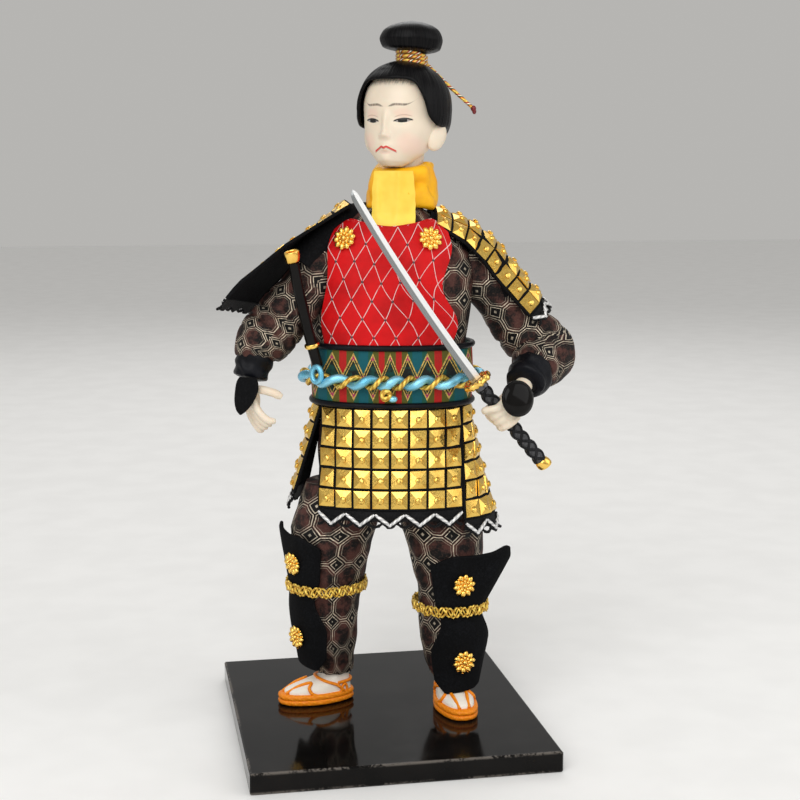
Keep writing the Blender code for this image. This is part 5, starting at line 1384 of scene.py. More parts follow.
def chest_pieces():
    """The red satin panel with its beads where the lattice crosses, and its two rosettes."""
    place = chest_sheet()
    piece("chest_satin", panel_cloth(place, 60, 52, (CHEST_WIDTH, CHEST_HEIGHT), CHEST_SATIN), look("chest"),
          "red_satin", ("chest_panel",))
    rim = edging(place, ((0, 0), (0, 1), (1, 1), (1, 0), (0, 0)), 0.55 * MM, 20)
    piece("chest_edge", rim, look("chest"), "red_satin")
    beads = []
    for m in range(1, 13):
        for n in range(1, 7):
            u = m * LATTICE[0] / 2 * MM / CHEST_WIDTH
            v = n * LATTICE[1] / 2 * MM / CHEST_HEIGHT
            if (m + n) % 2 and 0.04 < u < 0.96 and 0.03 < v < 0.97:
                beads.append(bead(place(u, v, 1.45 * MM), bpy.context.scene.doll_sizes.bead_radius))
    piece("chest_beads", gather(beads), look("dark_steel"), "dark_steel")
    up = BELT_BOTTOM + BELT_HEIGHT + 0.86 * CHEST_HEIGHT
    wide, deep = trunk_section(up)
    for side, reach in (("right", -17.0 * MM), ("left", 16.0 * MM)):
        turn = arc_turn(wide, deep, CHEST_TURN, reach)
        spot = trunk_point(turn, up, 3.4 * MM)
        beside = trunk_point(turn + 0.02, up, 3.4 * MM)
        above = trunk_point(turn, up + MM, 3.4 * MM)
        normal = (beside - spot).cross(above - spot)
        piece(side + "_chest_flower", rosette_mesh(spot, normal), look("gold"), "gilded_metal",
              (side + "_chest_rosette",))


def belt_pieces():
    """The woven belt, its two black piping cords and the twisted rope with its loop and knot."""
    def level(v):
        return BELT_BOTTOM + MM + v * (BELT_HEIGHT - 2 * MM)

    def outside(u, v):
        return belt_point(tau * u, level(v), 2.0 * MM + 0.5 * MM * sin(pi * v))

    def inside(u, v):
        return belt_point(tau * u, level(v), 0.2 * MM)

    size = (0.1805, BELT_HEIGHT)
    band = gather([wrapped(160, 14, outside, size, ends=False), wrapped(160, 2, inside, size, ends=False)],
                  outward=False)
    middle = HIP + BELT_BOTTOM + BELT_HEIGHT / 2
    for low in (True, False):
        bridged(band, lambda edge: (edge.verts[0].co.z < middle) == low)
    piece("belt_band", band, look("belt"), "belt_brocade", ("belt",))
    piping = []
    for v in (0, 1):
        points = [belt_point(tau * k / 96, level(v), 2.2 * MM) for k in range(96)]
        piping.append(swept(points, 1.25 * MM, 10, closed=True))
    piece("belt_piping", gather(piping), look("cuff"), "black_lace")
    height = BELT_BOTTOM + 11 * MM
    rope_strands(height)
    rope_ends(height)


def rope_strands(height):
    """A fat blue satin strand and a twisted gold cord laid round each other over the belt."""
    twists = 13
    steps = 16 * twists
    middle = 5.0 * MM
    for name, start, radius, lay, (lobes, depth), finish, slot in (
            ("rope_blue", 0.0, 1.9 * MM, 1.45 * MM, (9, 0.03), "blue_cord", "blue_cord"),
            ("rope_gold", pi, 1.15 * MM, 2.15 * MM, (3, 0.3), "gold_thread", "gold_cord")):
        points = []
        for k in range(steps):
            turn = tau * k / steps
            twist = start + twists * turn
            points.append(belt_point(turn, height + lay * sin(twist), middle + lay * cos(twist)))
        strand = swept(points, radius, 18, closed=True, lobes=lobes, lay=twists * 3.0, depth=depth)
        piece(name, strand, look(finish), slot, (name + "_strand",))


def rope_ends(height):
    """The blue loop at the doll's right and the small gold knot in front."""
    loop = []
    for k in range(24):
        turn = tau * k / 24
        spot = belt_point(radians(-62), height + 2.8 * MM + 3.2 * MM * sin(turn), 8.2 * MM)
        loop.append(spot + across_of(radians(-45)) * 2.4 * MM * cos(turn))
    knot = belt_point(radians(-3), height - 5.2 * MM, 6.2 * MM)
    blue = [swept(loop, 1.2 * MM, 12, closed=True, lobes=7, lay=4.0, depth=0.03),
            bead(knot + Vector((2.4, -0.4, -1.2)) * MM, 1.6 * MM, (1.2, 1, 0.9))]
    piece("rope_loop", gather(blue), look("blue_cord"), "blue_cord")
    winding = []
    for k in range(25):
        turn = tau * 2 * k / 24
        offset = Vector((1.7 * cos(turn) - 0.6, -0.5 + 0.5 * sin(turn * 1.5), 1.7 * sin(turn) + 0.04 * k))
        winding.append(knot + offset * MM)
    piece("rope_knot", swept(winding, 0.95 * MM, 10), look("gold_thread"), "gold_cord")


def skirt_pieces():
    """Four studded panels that hang from the belt, each with its lace."""
    panels = (("front", 0.0, 0.0, 8, 5, STUD_ROW), ("left", pi / 2, radians(68), 3, 6, STUD_PITCH),
              ("back", pi, pi, 8, 5, STUD_ROW), ("right", -pi / 2, radians(-97), 3, 5, STUD_PITCH))
    for side, start, low_start, columns, rows, row in panels:
        half = columns * STUD_PITCH / 2
        length = rows * row

        def place(u, v, out):
            return skirt_point(start, low_start, (2 * u - 1) * half, v * length, out)

        def edge(u, drop, out):
            return skirt_point(start, low_start, (2 * u - 1) * half, length + GAP + drop, out)

        armour_panel(side + "_skirt", side + "_skirt_panel", place, columns, rows, length)
        lace_pieces(side + "_skirt_trim", side + "_skirt_lace", edge, 2 * half)


# Arms and shoulders

ARMS = {
    "right": ((-26, 2, 95, 11, 10.5), (-32, 1, 87, 11.6, 11.4), (-39, 0, 79, 11.4, 11.2),
              (-45.5, -1, 72, 12, 11.8), (-50.5, -2, 66.5, 12.2, 12.4), (-55, -3, 61.5, 11.4, 12),
              (-58.2, -4, 57, 9.6, 10), (-59.2, -4.5, 53.2, 7.2, 7.2)),
    "left": ((30, 1, 95.5, 11.5, 11.5), (38.5, 0.5, 87, 11.5, 11.5), (45.5, 0, 79.5, 11.2, 11.2),
             (52.5, -0.5, 70.5, 11.6, 11.6), (59.5, -2, 61.5, 12.6, 12.8), (65.5, -6, 54, 13.2, 13.4),
             (60, -13.5, 49.5, 11, 11.2), (56.5, -18, 46.5, 8.8, 8.8)),
}
ARM_HINTS = {"right": Vector((0, -1, 0)), "left": Vector((0.4, -0.2, 1)).normalized()}


def arm_point(side, v, turn, out):
    """A point of a sleeve at a share of its length."""
    table = [(k / (len(ARMS[side]) - 1), *row) for k, row in enumerate(ARMS[side])]
    x, y, up, wide, deep = ease(table, v)
    before = Vector(ease(table, max(v - 0.03, 0.0))[:3])
    after = Vector(ease(table, min(v + 0.03, 1.0))[:3])
    ahead = (after - before).normalized()
    hint = ARM_HINTS[side]
    side_way = (hint - ahead * hint.dot(ahead)).normalized()
    front = ahead.cross(side_way)
    return (from_hip(x, y, up) + side_way * (wide * MM + out) * cos(turn)
            + front * (deep * MM + out) * sin(turn))


def arm_ahead(side):
    """Where the wrist leaves the sleeve and which way it points."""
    last = from_hip(*ARMS[side][-1][:3])
    before = from_hip(*ARMS[side][-2][:3])
    return last, (last - before).normalized()


def sleeve_pieces(side):
    """A padded sleeve with deep folds where the arm bends and puckers at the wrist."""
    seed = 21.0 if side == "right" else 8.0
    bend = 0.62 if side == "left" else 0.52
    depth = bpy.context.scene.doll_sizes.crease_depth

    def place(u, v):
        turn = tau * u
        spot = arm_point(side, v, turn, 0.0)
        near_bend = exp(-((v - bend) / 0.16) ** 2)
        inside = 0.5 + 0.5 * cos(turn - (pi if side == "left" else pi / 2))
        swirl = v * 62 + 2.2 * sin(turn) + 3.0 * fold(spot, 45, seed)
        crease = -depth * near_bend * (0.35 + 0.65 * inside) * max(0.0, sin(swirl)) ** 2
        soft = 0.9 * MM * fold(spot, 62, seed) + 0.45 * MM * fold(spot, 150, seed + 1)
        gathers = 0.5 * MM * sin(turn * 11 + 2 * fold(spot, 80, seed)) * smooth_step((v - 0.86) / 0.14)
        closing = 1.0 - smooth_step((v - 0.965) / 0.035) * 0.55
        point = arm_point(side, v, turn, crease + soft + gathers)
        middle = (arm_point(side, v, turn, 0.0) + arm_point(side, v, turn + pi, 0.0)) / 2
        return middle + (point - middle) * closing

    obj = piece(side + "_sleeve_cloth", wrapped(96, 110, place, (0.072, 0.075)), look("brocade"),
                "dark_brocade", (side + "_sleeve",))


def cuff_pieces(side):
    """A black satin cuff, gathered in soft pleats round the wrist."""
    start, ahead = arm_ahead(side)
    hint = Vector((0, -1, 0)) if side == "right" else UP
    lateral = (hint - ahead * hint.dot(ahead)).normalized()
    other = ahead.cross(lateral)
    outer = (7.4 if side == "right" else 8.9) * MM
    profile = ((0.0, 0.7), (0.06, 1.0), (0.25, 1.06), (0.5, 1.02), (0.75, 0.98), (0.93, 0.9), (1.0, 0.5))

    def place(u, v):
        turn = tau * u
        share = ease(profile, v)[0]
        pleat = 1 + 0.05 * sin(v * 11 + turn * 2 + 2.5 * fold((cos(turn), sin(turn), v), 1.6, 3.0))
        pleat += 0.05 * fold((cos(turn), sin(turn), v * 2), 1.4, 5.0)
        spot = start + ahead * (v * 12.6 * MM - 4.4 * MM)
        return spot + (lateral * cos(turn) + other * sin(turn)) * outer * share * pleat

    piece(side + "_cuff_satin", wrapped(96, 26, place, (0.05, 0.008)), look("cuff"), "black_lace",
          (side + "_cuff",))


def capsule(points, radius):
    """A rounded finger-like solid through a few points."""
    path = route(points, 5)
    end = path[-1] + (path[-1] - path[-2]).normalized() * radius * 0.6

    def taper(v):
        return radius * (1.0 if v < 0.85 else 1.0 - 0.25 * (v - 0.85) / 0.15)

    return swept(path + [end], taper, 12)


def melted(name, parts, slot, node):
    """Several overlapping solids melted into one smooth skin."""
    obj = piece(name, gather(parts), look("skin"), slot, (node,))
    step = obj.modifiers.new("melt", "REMESH")
    step.mode = "VOXEL"
    step.voxel_size = 0.45 * MM
    step.use_smooth_shade = True
    soft = obj.modifiers.new("soft", "SMOOTH")
    soft.factor = 0.5
    soft.iterations = 5
    apply_steps(obj)
    if not obj.data.materials:
        obj.data.materials.append(look("skin"))


def right_hand_pieces():
    """The open right hand with curled fingers, and the black leaf over its back."""
    start, ahead = arm_ahead("right")
    parts = [swept(route([start + ahead * 0.6 * MM, start + ahead * 7 * MM, from_hip(-61.2, -6.8, 40.5),
                          from_hip(-61.4, -7.0, 36.0), from_hip(-61.6, -7.0, 33.5)], 4),
                   lambda v: (3.3 + 1.2 * smooth_step((v - 0.35) / 0.3)) * MM, 16, flat=0.8)]
    thumb = [from_hip(-59.5, -10.0, 42.0), from_hip(-55.5, -12.8, 41.6), from_hip(-52.0, -14.0, 40.6),
             from_hip(-49.8, -14.2, 39.4)]
    parts.append(capsule(thumb, 1.85 * MM))
    for k in range(4):
        finger = [from_hip(-60.3 - 0.6 * k, -9.6 + 2.5 * k, 38.2 - 1.4 * k),
                  from_hip(-59.2 - 0.6 * k, -10.9 + 2.5 * k, 34.6 - 1.5 * k),
                  from_hip(-57.0 - 0.7 * k, -11.8 + 2.5 * k, 31.2 - 1.6 * k),
                  from_hip(-54.2 - 1.1 * k, -12.2 + 2.5 * k, 28.9 - 1.6 * k),
                  from_hip(-52.2 - 1.4 * k, -12.2 + 2.5 * k, 28.6 - 1.6 * k)]
        parts.append(capsule(finger, 1.6 * MM))
    melted("right_hand_skin", parts, "ivory_plastic", "right_hand")
    rows = ((0.0, -63.0, -13.9, 47.4, 3.6), (0.16, -63.2, -13.6, 45.2, 4.7),
            (0.38, -63.6, -13.2, 41.5, 5.0), (0.64, -64.6, -12.6, 37.0, 4.1),
            (0.86, -65.4, -11.9, 33.4, 2.2), (1.0, -65.7, -11.6, 31.6, 0.3))
    across = Vector((0.86, -0.5, 0)).normalized()
    away = Vector((-0.5, -0.86, 0)).normalized()

    def leaf(u, v, out):
        x, y, up, half = ease(rows, v)
        side = (2 * u - 1) * half * MM
        return from_hip(x, y, up) + across * side + away * (out - 0.5 * MM - side * side * 25)

    piece("right_hand_leaf", panel_cloth(leaf, 14, 24, (0.01, 0.015), 1.0 * MM), look("black_cloth"),
          "black_lace", ("right_hand_guard",))


def left_hand_pieces():
    """The left fist round the grip, and the round glossy pad over its back."""
    start, ahead = arm_ahead("left")
    parts = []
    for k in range(4):
        along = (25.6 + 2.9 * k) * MM
        turns = [radians(degrees) for degrees in range(-70, 261, 30)]
        ring = [sword_point(along, 4.3 * MM * cos(turn), 4.2 * MM * sin(turn)) for turn in turns]
        parts.append(swept(ring, 1.6 * MM, 12))
    palm_end = sword_point(30.0 * MM, 4.0 * MM, -4.2 * MM)
    parts.append(swept(route([start + ahead * 0.6 * MM, start + ahead * 7.5 * MM, palm_end], 5),
                       lambda v: (3.2 + 1.2 * v) * MM, 14))
    thumb = [sword_point(34 * MM, 4.6 * MM, -2.0 * MM), sword_point(36 * MM, 4.9 * MM, 2.5 * MM),
             sword_point(35.0 * MM, 2.0 * MM, 4.9 * MM), sword_point(33.5 * MM, -1.5 * MM, 5.0 * MM)]
    parts.append(capsule(thumb, 1.6 * MM))
    melted("left_hand_skin", parts, "ivory_plastic", "left_hand")
    centre = from_hip(43.6, -44.4, 40.2)
    normal = Vector((0.28, -0.93, 0.18)).normalized()
    turn = facing(normal)
    pad = [bead(centre + normal * 0.6 * MM, 7.0 * MM, (1, 1, 0.3), turn, 4)]
    rim = [centre + turn @ Vector((6.8 * cos(tau * k / 40), 6.8 * sin(tau * k / 40), 0.3)) * MM
           for k in range(40)]
    pad.append(swept(rim, 0.7 * MM, 8, closed=True))
    piece("left_hand_pad", gather(pad), look("lacquer"), "black_gloss", ("left_hand_guard",))


def shoulder_pieces(side):
    """A studded strip over the shoulder and upper arm, with its lace."""
    columns, rows = 4, 8
    half = columns * STUD_PITCH / 2
    length = rows * STUD_PITCH
    shift, share = (-3.5 * MM, 1.0) if side == "left" else (0.0, 0.55)

    def place(u, v, out):
        return guard_point(side, (2 * u - 1) * half + shift, v * length, out)

    def edge(u, drop, out):
        return guard_point(side, (2 * u - 1) * half + shift, length + GAP + drop, out)

    armour_panel(side + "_shoulder", side + "_shoulder_guard", place, columns, rows, length, share)
    lace_pieces(side + "_shoulder_trim", side + "_shoulder_lace", edge, 2 * half, 10 * MM, 5.8 * MM)


def shoulder_black_rolls():
    """Black rolls of cloth over both shoulders, which fill the space under the guards."""
    right = ((-8, 2, 112), (-17, 2, 110), (-27, 1.5, 102), (-37, 0, 91))
    left = ((14, 0, 110.5), (25, 0, 107), (33, 0, 102.6), (40, -0.5, 96), (46, -1, 88), (50, -1.5, 80))
    for side, points, depths, thick, swell in (("right", right, (0.0,), 6.5, 2.8),
                                               ("left", left, (-6.5, 0.0, 6.0), 4.6, 0.6)):
        rolls = []
        for depth in depths:
            path = route([from_hip(x, y + depth, up) for x, y, up in points], 6)
            rolls.append(swept(path, lambda v: (thick + swell * v) * MM, 28))
        piece(side + "_shoulder_lining", gather(rolls), look("black_cloth"), "black_lace")


# Head, hair and scarf

def head_pieces():
    """The painted head on its neck, with modelled ears."""
    def place(u, v):
        even = (u - 0.5) * tau
        return head_point(even - 0.32 * sin(even), v, 0.0, relief=True)

    top = HEAD @ Vector((0, 3.5 * MM, 10.0 * MM))
    rise = top.z - HIP - TRUNK_HEIGHT - GAP
    neck = swept([neck_centre(rise * k / 6) for k in range(7)], NECK_RADIUS, 32)
    parts = [wrapped(150, 130, place, (0.1, HEAD_HEIGHT)), neck]
    for side, out in ((1, 1.3 * MM), (-1, 0.2 * MM)):
        middle = head_point(side * 1.6, 0.31, out)
        away = (HEAD.to_3x3() @ Vector((side * 0.78, -0.62, -0.05))).normalized()
        lean = (HEAD.to_3x3() @ Vector((side * 0.42, 0.16, 1.0))).normalized()
        parts.append(bead(middle, 5.0 * MM, (1.2, 0.8, 0.45), facing(away, lean), 3))
    piece("head_skin", gather(parts), look("face"), "ivory_plastic", ("head",), angle=80)


def hairline(turn):
    """The share of the head's height where the hair starts."""
    return ease(HAIRLINE, min(abs(turn), pi))[0]


def hair_pieces():
    """The swept-up hair as combed strands with a rolled front edge."""
    crown = 1.0 + 2.4 * MM / HEAD_HEIGHT
    edge_part = 0.12

    def place(u, v):
        even = (u - 0.5) * tau
        turn = even - 0.25 * sin(even)
        low = hairline(turn)
        strand = 0.05 * MM * sin(u * 640) + 0.14 * MM * fold((u * 3, 0.3, 0.1), 26, 1.0)
        lock = 0.25 * MM * fold((u, v * 0.12, 0.0), 14, 6.0)
        if v < edge_part:
            roll = v / edge_part * pi
            out = 1.5 * MM + 1.5 * MM * (0.5 - 0.5 * cos(roll))
            share = low + 0.012 - 0.03 * sin(roll)
            return head_point(turn, share, out + strand * 0.5)
        part = (v - edge_part) / (1 - edge_part)
        share = low + 0.012 + (crown - low - 0.012) * sin(pi / 2 * part ** 1.2)
        out = 3.0 * MM - 0.6 * MM * smooth_step(part * 3) + strand * (1 - part ** 4) + lock * (1 - part)
        return head_point(turn, min(share, crown), out)

    piece("hair_combed", wrapped(300, 60, place, (0.12, 0.04), ends=False), look("hair"), "black_silk",
          ("hair_cap",), angle=80)
    topknot_pieces()


def topknot_pieces():
    """The bound brush of hair on the crown, its tie of coloured cord and the cord's loose end."""
    base = HEAD @ Vector((2.0 * MM, 2.0 * MM, HEAD_HEIGHT + 2.7 * MM))
    levels = ((0.0, 0.36), (0.17, 0.37), (0.21, 0.48), (0.26, 0.76), (0.31, 0.9), (0.38, 0.95), (0.47, 0.99),
              (0.55, 1.0), (0.68, 0.94), (0.78, 0.84), (0.88, 0.64), (0.96, 0.34), (1.0, 0.0))

    def place(u, v):
        turn = tau * u
        reach = 13.2 * MM * max(0.0, ease(levels, v)[0])
        around = (cos(turn), sin(turn), 0.0)
        strand = 1 + 0.004 * sin(turn * 71) + 0.05 * fold((cos(turn), sin(turn), v * 0.6), 2.2, 9.0)
        droop = 1.0 * MM * fold(around, 1.5, 4.0) * smooth_step((v - 0.4) / 0.3) * (1 - v)
        droop -= 0.9 * MM * sin(turn) * smooth_step((v - 0.1) / 0.15) * (1 - v)
        high = v * 16.5 * MM + droop
        return base + Vector((sin(turn) * reach * strand, -cos(turn) * reach * 0.9 * strand, high))

    piece("topknot_brush", wrapped(220, 48, place, (0.08, 0.03)), look("hair"), "black_silk", ("topknot",),
          angle=80)
    tie_turns(base)
    tie_tail(base)


def tie_turns(base):
    """Three turns of coloured cord round the foot of the topknot."""
    rings = []
    for k in range(3):
        points = []
        for i in range(48):
            turn = tau * i / 48
            tilt = 0.3 * MM * sin(turn * 2 + k) - 1.3 * MM * sin(turn) - 1.3 * MM
            points.append(base + heading(turn) * TIE_RADIUS + UP * ((2 * k + 1) * 0.85 * MM + tilt))
        rings.append(swept(points, 0.95 * MM, 10, closed=True, lobes=3, lay=14, depth=0.2))
    piece("tie_turns", gather(rings), look("tie"), "coloured_cord", ("topknot_tie",))


def tie_tail(base):
    """The tie's loose end, which hangs beside the head and ends in a small knot."""
    offsets = ((5.2, 1.2, -0.6), (7.4, 2.6, -1.4), (10.2, 3.4, -3.8), (13.6, 3.5, -7.0), (17.4, 2.8, -10.6),
               (21.2, 1.4, -14.2), (25.0, -0.4, -17.9), (26.3, -1.0, -19.2))
    path = route([base + Vector(offset) * MM for offset in offsets], 8)
    length = sum((b - a).length for a, b in zip(path, path[1:]))
    tail = piece("tie_tail", swept(path, 0.8 * MM, 10, lobes=3, lay=9, depth=0.18), look("tie"),
                 "coloured_cord", ("topknot_cord_tail",))
    end = path[-1]
    beads = [bead(end, 1.2 * MM, (1, 1, 1.15)),
             bead(end + Vector((0.4, 0, -1.2)) * MM, 0.9 * MM, (1, 1, 1.3))]
    knot = piece("tie_tail_knot", gather(beads), look("red_thread"), "coloured_cord")
    tuple(path[0])
    [tuple(point) for point in path]


def scarf_wrap():
    """The orange scarf wound round the neck in slanting folds that flare at both sides."""
    inner = NECK_RADIUS + 0.4 * MM

    def place(u, v):
        turn = tau * u
        front = max(0.0, cos(turn - HEAD_TURN)) ** 0.7
        top = 16 * MM + (2.5 - 2.6 * front) * MM
        profile = ((0.0, inner, 0.0), (0.12, SCARF_RADIUS - 1.0 * MM, 0.02 * top),
                   (0.25, SCARF_RADIUS, 0.2 * top), (0.45, SCARF_RADIUS, 0.45 * top),
                   (0.65, SCARF_RADIUS - 0.8 * MM, 0.7 * top), (0.82, SCARF_RADIUS - 1.8 * MM, 0.95 * top),
                   (0.92, inner + 1.4 * MM, 1.02 * top), (1.0, inner - 0.4 * MM, 0.95 * top))
        reach, up = ease(profile, v)
        middle = sin(pi * min(max(v, 0.0), 1.0))
        around = (cos(turn), sin(turn), v)
        slant = abs(sin(turn * 1.5 + v * 5.5 + 1.3 * fold(around, 1.1, 7.0))) * 2 - 1
        slant += 0.35 * sin(turn * 9 + v * 4 + 2 * fold(around, 2.0, 3.0))
        soft = fold((cos(turn) * 2, sin(turn) * 2, v * 2), 1.3, 2.0)
        reach += (1.2 * MM * slant + 0.7 * MM * soft) * middle
        flare = 2.4 * MM * exp(-((turn - radians(68)) / 0.42) ** 2)
        flare += 1.2 * MM * exp(-((turn - radians(285)) / 0.35) ** 2)
        reach += flare * exp(-((v - 0.2) / 0.13) ** 2)
        up -= 0.7 * flare * exp(-((v - 0.14) / 0.1) ** 2)
        return neck_centre(up) + heading(turn) * reach

    piece("scarf_folds", wrapped(140, 60, place, (0.08, 0.04), ends=False), look("orange"), "orange_satin",
          ("scarf_wrap",))


def scarf_drop():
    """The yellow end of the scarf, which hangs in front and is tucked behind the chest panel."""
    stop = BELT_BOTTOM + BELT_HEIGHT + CHEST_HEIGHT - 3.5 * MM
    start = CHIN_HEIGHT - 0.6 * MM
    ahead = heading(TRUNK_TURN)
    origin = from_hip(0, 0, 0)

    def place(u, v, out):
        up = start + (stop - start) * v
        width = 0.86 + 0.1 * smooth_step(v * 2.5) + 0.05 * fold((u * 0.5, v * 3.0, 0), 2.0, 4.0)
        side = (2 * u - 1) * 9.3 * MM * width
        neck = neck_centre(max(up - TRUNK_HEIGHT, 0.0)) + ahead * (SCARF_RADIUS + 1.5 * MM)
        chest = trunk_point(radians(-4), min(up, TRUNK_HEIGHT), 1.2 * MM)
        reach = max((neck - origin).dot(ahead), (chest - origin).dot(ahead))
        pleat = 0.75 * MM * sin(u * 13 + 2.5 * fold((u, v * 0.6, 0), 3.0, 1.0)) * (0.4 + 0.6 * v)
        tuck = smooth_step((v - 0.7) / 0.25)
        reach += pleat * (1 - tuck) - 0.7 * MM * tuck - 1.6 * MM * (2 * u - 1) ** 2
        point = origin + ahead * (reach + out) + across_of(TRUNK_TURN) * (side + 1.2 * MM)
        point.z = HIP + up
        return point

    height = start - stop
    end = piece("scarf_end", panel_cloth(place, 40, 40, (0.016, height), SCARF_SATIN), look("yellow"),
                "yellow_satin", ("scarf_front",))


# Sword and scabbard

def sword_pieces():
    """Blade, ornate guard, collar, wrapped grip and end cap."""
    def ringed(levels, tall, thick, rows, start, length):
        def place(u, v):
            scale, part = ease(levels, v)
            turn = tau * u
            return sword_point(start + part * length, tall * scale * cos(turn), thick * scale * sin(turn))
        return wrapped(32, rows, place, (tau * tall, length))

    cap = ((0.0, 0.3, 0.0), (0.15, 0.75, 0.02), (0.35, 1.0, 0.2), (0.6, 1.06, 0.5), (0.8, 1.0, 0.8),
           (1.0, 0.9, 1.0))
    piece("grip_cap", ringed(cap, 3.0 * MM, 2.6 * MM, 16, 0.0, 3.9 * MM), look("gold"), "gilded_metal",
          ("sword_end_cap",))
    grip_pieces()
    collar = ((0.0, 0.9, 0.0), (0.1, 1.0, 0.08), (0.5, 1.0, 0.5), (0.9, 1.0, 0.92), (1.0, 0.9, 1.0))
    piece("grip_collar", ringed(collar, 2.95 * MM, 2.5 * MM, 10, COLLAR_START + 0.2 * MM, 2.8 * MM),
          look("dark_steel"), "bright_steel", ("sword_collar",))
    guard_piece()
    blade_piece()


def grip_pieces():
    """The grip's core and the cords that cross over it."""
    length = COLLAR_START - GRIP_START
    core = [sword_point(GRIP_START + length * k / 30, 0, 0) for k in range(31)]
    piece("grip_core", swept(core, 2.3 * MM, 20), look("grip_ground"), "black_grip", ("sword_grip",))
    starts, turns, steps = 3, 2.6, 160
    wraps = []
    for way in (1, -1):
        for start in range(starts):
            points = []
            for k in range(steps + 1):
                turn = tau * (start / starts + way * turns * k / steps)
                lift = 0.1 * MM * sin(turn * 2 * way)
                along = GRIP_START + 0.2 * MM + (length - 0.4 * MM) * k / steps
                up = (2.45 * MM + lift) * cos(turn)
                points.append(sword_point(along, up, (2.25 * MM + lift) * sin(turn)))
            wraps.append(swept(points, 0.6 * MM, 8))
    piece("grip_wraps", gather(wraps), look("grip"), "black_grip")


def guard_piece():
    """The sword's round guard, dished and chased, with eight shallow petals."""
    disc = ((0.0, 0.3, 0.1), (0.14, 0.6, 0.05), (0.26, 0.72, -0.25), (0.36, 0.92, -0.25), (0.46, 1.0, 0.2),
            (0.54, 1.0, 0.8), (0.64, 0.92, 1.25), (0.74, 0.72, 1.25), (0.86, 0.6, 0.95), (1.0, 0.3, 0.9))

    def place(u, v):
        scale, part = ease(disc, v)
        turn = tau * u
        petal = 1 - 0.1 * smooth_step((scale - 0.6) / 0.3) * (0.5 - 0.5 * cos(turn * 8))
        reach = 6.3 * MM * max(scale, 0.0) * petal
        chase = 0.22 * MM * cos(turn * 16) * (1 if part > 0.5 else -1) * (1 if 0.55 < scale < 0.95 else 0)
        along = GUARD_START + GAP + 1.6 * MM * part + chase
        return sword_point(along, reach * cos(turn), reach * sin(turn))

    piece("tsuba", wrapped(96, 26, place, (0.04, 0.01)), look("gold"), "gilded_metal", ("sword_guard",),
          angle=40)


def blade_piece():
    """The slightly curved blade with a flat, a ground bevel and a sharp point."""
    half = 2.2 * MM
    thick = 0.65 * MM
    ridge = 0.04 * half
    section = ((half, 0.0), (half, 0.5 * thick), (ridge, thick), (-half, 0.0), (ridge, -thick),
               (half, -0.5 * thick), (half, 0.0))
    start = BLADE_START + GAP

    def place(u, v):
        k = min(int(u * 6), 5)
        part = u * 6 - k
        up = section[k][0] + (section[k + 1][0] - section[k][0]) * part
        out = section[k][1] + (section[k + 1][1] - section[k][1]) * part
        narrow = 1.0 - 0.22 * v
        close = min(max((v - 0.95) / 0.05, 0.0), 1.0)
        point = 1.0 - sqrt(1.0 - close * close)
        tip_up = -half * 0.25 * point
        scale = narrow * (1 - point) + 0.04 * point
        return sword_point(start + BLADE_LENGTH * v, up * scale + tip_up, out * scale)

    blade = wrapped(12, 90, place, (len(section) * MM - MM, BLADE_LENGTH))
    piece("blade", blade, look("blade"), "bright_steel", ("sword_blade",), angle=18)


def scabbard_pieces():
    """The lacquered scabbard with its gilt mouth and band."""
    wide, deep = 2.3 * MM, 1.96 * MM
    points = [scabbard_point((4.8 + 45.2 * k / 24) * MM, 0, 0) for k in range(25)]
    piece("scabbard_tube", swept(points, wide, 28, hint=Vector((0, -1, 0))), look("lacquer"), "black_gloss",
          ("scabbard",))
    mouth = ((0.0, 1.0, 0.3), (0.12, 1.05, 0.02), (0.25, 1.32, 0.0), (0.4, 1.4, 0.2), (0.55, 1.38, 0.6),
             (0.7, 1.15, 0.98), (0.8, 0.85, 1.0), (0.9, 0.6, 0.9), (1.0, 0.55, 0.35))
    band = ((0.0, 1.14, 0.0), (0.2, 1.3, 0.05), (0.5, 1.4, 0.5), (0.8, 1.3, 0.95), (1.0, 1.14, 1.0))
    for name, profile, start, length, rows, node in (
            ("scabbard_lip", mouth, 0.0, 4.5 * MM, 24, "scabbard_mouth"),
            ("scabbard_ring", band, 40 * MM, 1.8 * MM, 12, "scabbard_band")):
        def place(u, v):
            share, part = ease(profile, v)
            turn = tau * u
            return scabbard_point(start + part * length, wide * share * cos(turn), deep * share * sin(turn))

        ring = bridged(wrapped(40, rows, place, (0.014, length), ends=False))
        piece(name, ring, look("gold"), "gilded_metal", (node,))


# Stage

CAMERA_PLACE = Vector((-0.1082, -0.6249, 0.2419))
CAMERA_AHEAD = Vector((0.182, 0.9712, -0.1541))
CAMERA_RIGHT = Vector((0.9829, -0.1842, 0.0))
CAMERA_LENS = 68.07


def camera_piece():
    """The camera at the photograph's place and angle."""
    data = bpy.data.cameras.new("view")
    data.lens = CAMERA_LENS
    data.sensor_width = 36.0
    data.clip_start = 0.01
    obj = bpy.data.objects.new("view", data)
    back = -CAMERA_AHEAD.normalized()
    right = CAMERA_RIGHT.normalized()
    turn = Matrix((right, back.cross(right), back)).transposed()
    obj.matrix_world = Matrix.Translation(CAMERA_PLACE) @ turn.to_4x4()
    bpy.context.collection.objects.link(obj)
    bpy.context.scene.camera = obj


def lamp(name, place, target, size, power):
    """A soft square lamp aimed at a point."""
    data = bpy.data.lights.new(name, "AREA")
    data.size = size
    data.energy = power
    obj = bpy.data.objects.new(name, data)
    obj.matrix_world = Matrix.Translation(place) @ facing(Vector(place) - Vector(target)).to_4x4()
    bpy.context.collection.objects.link(obj)


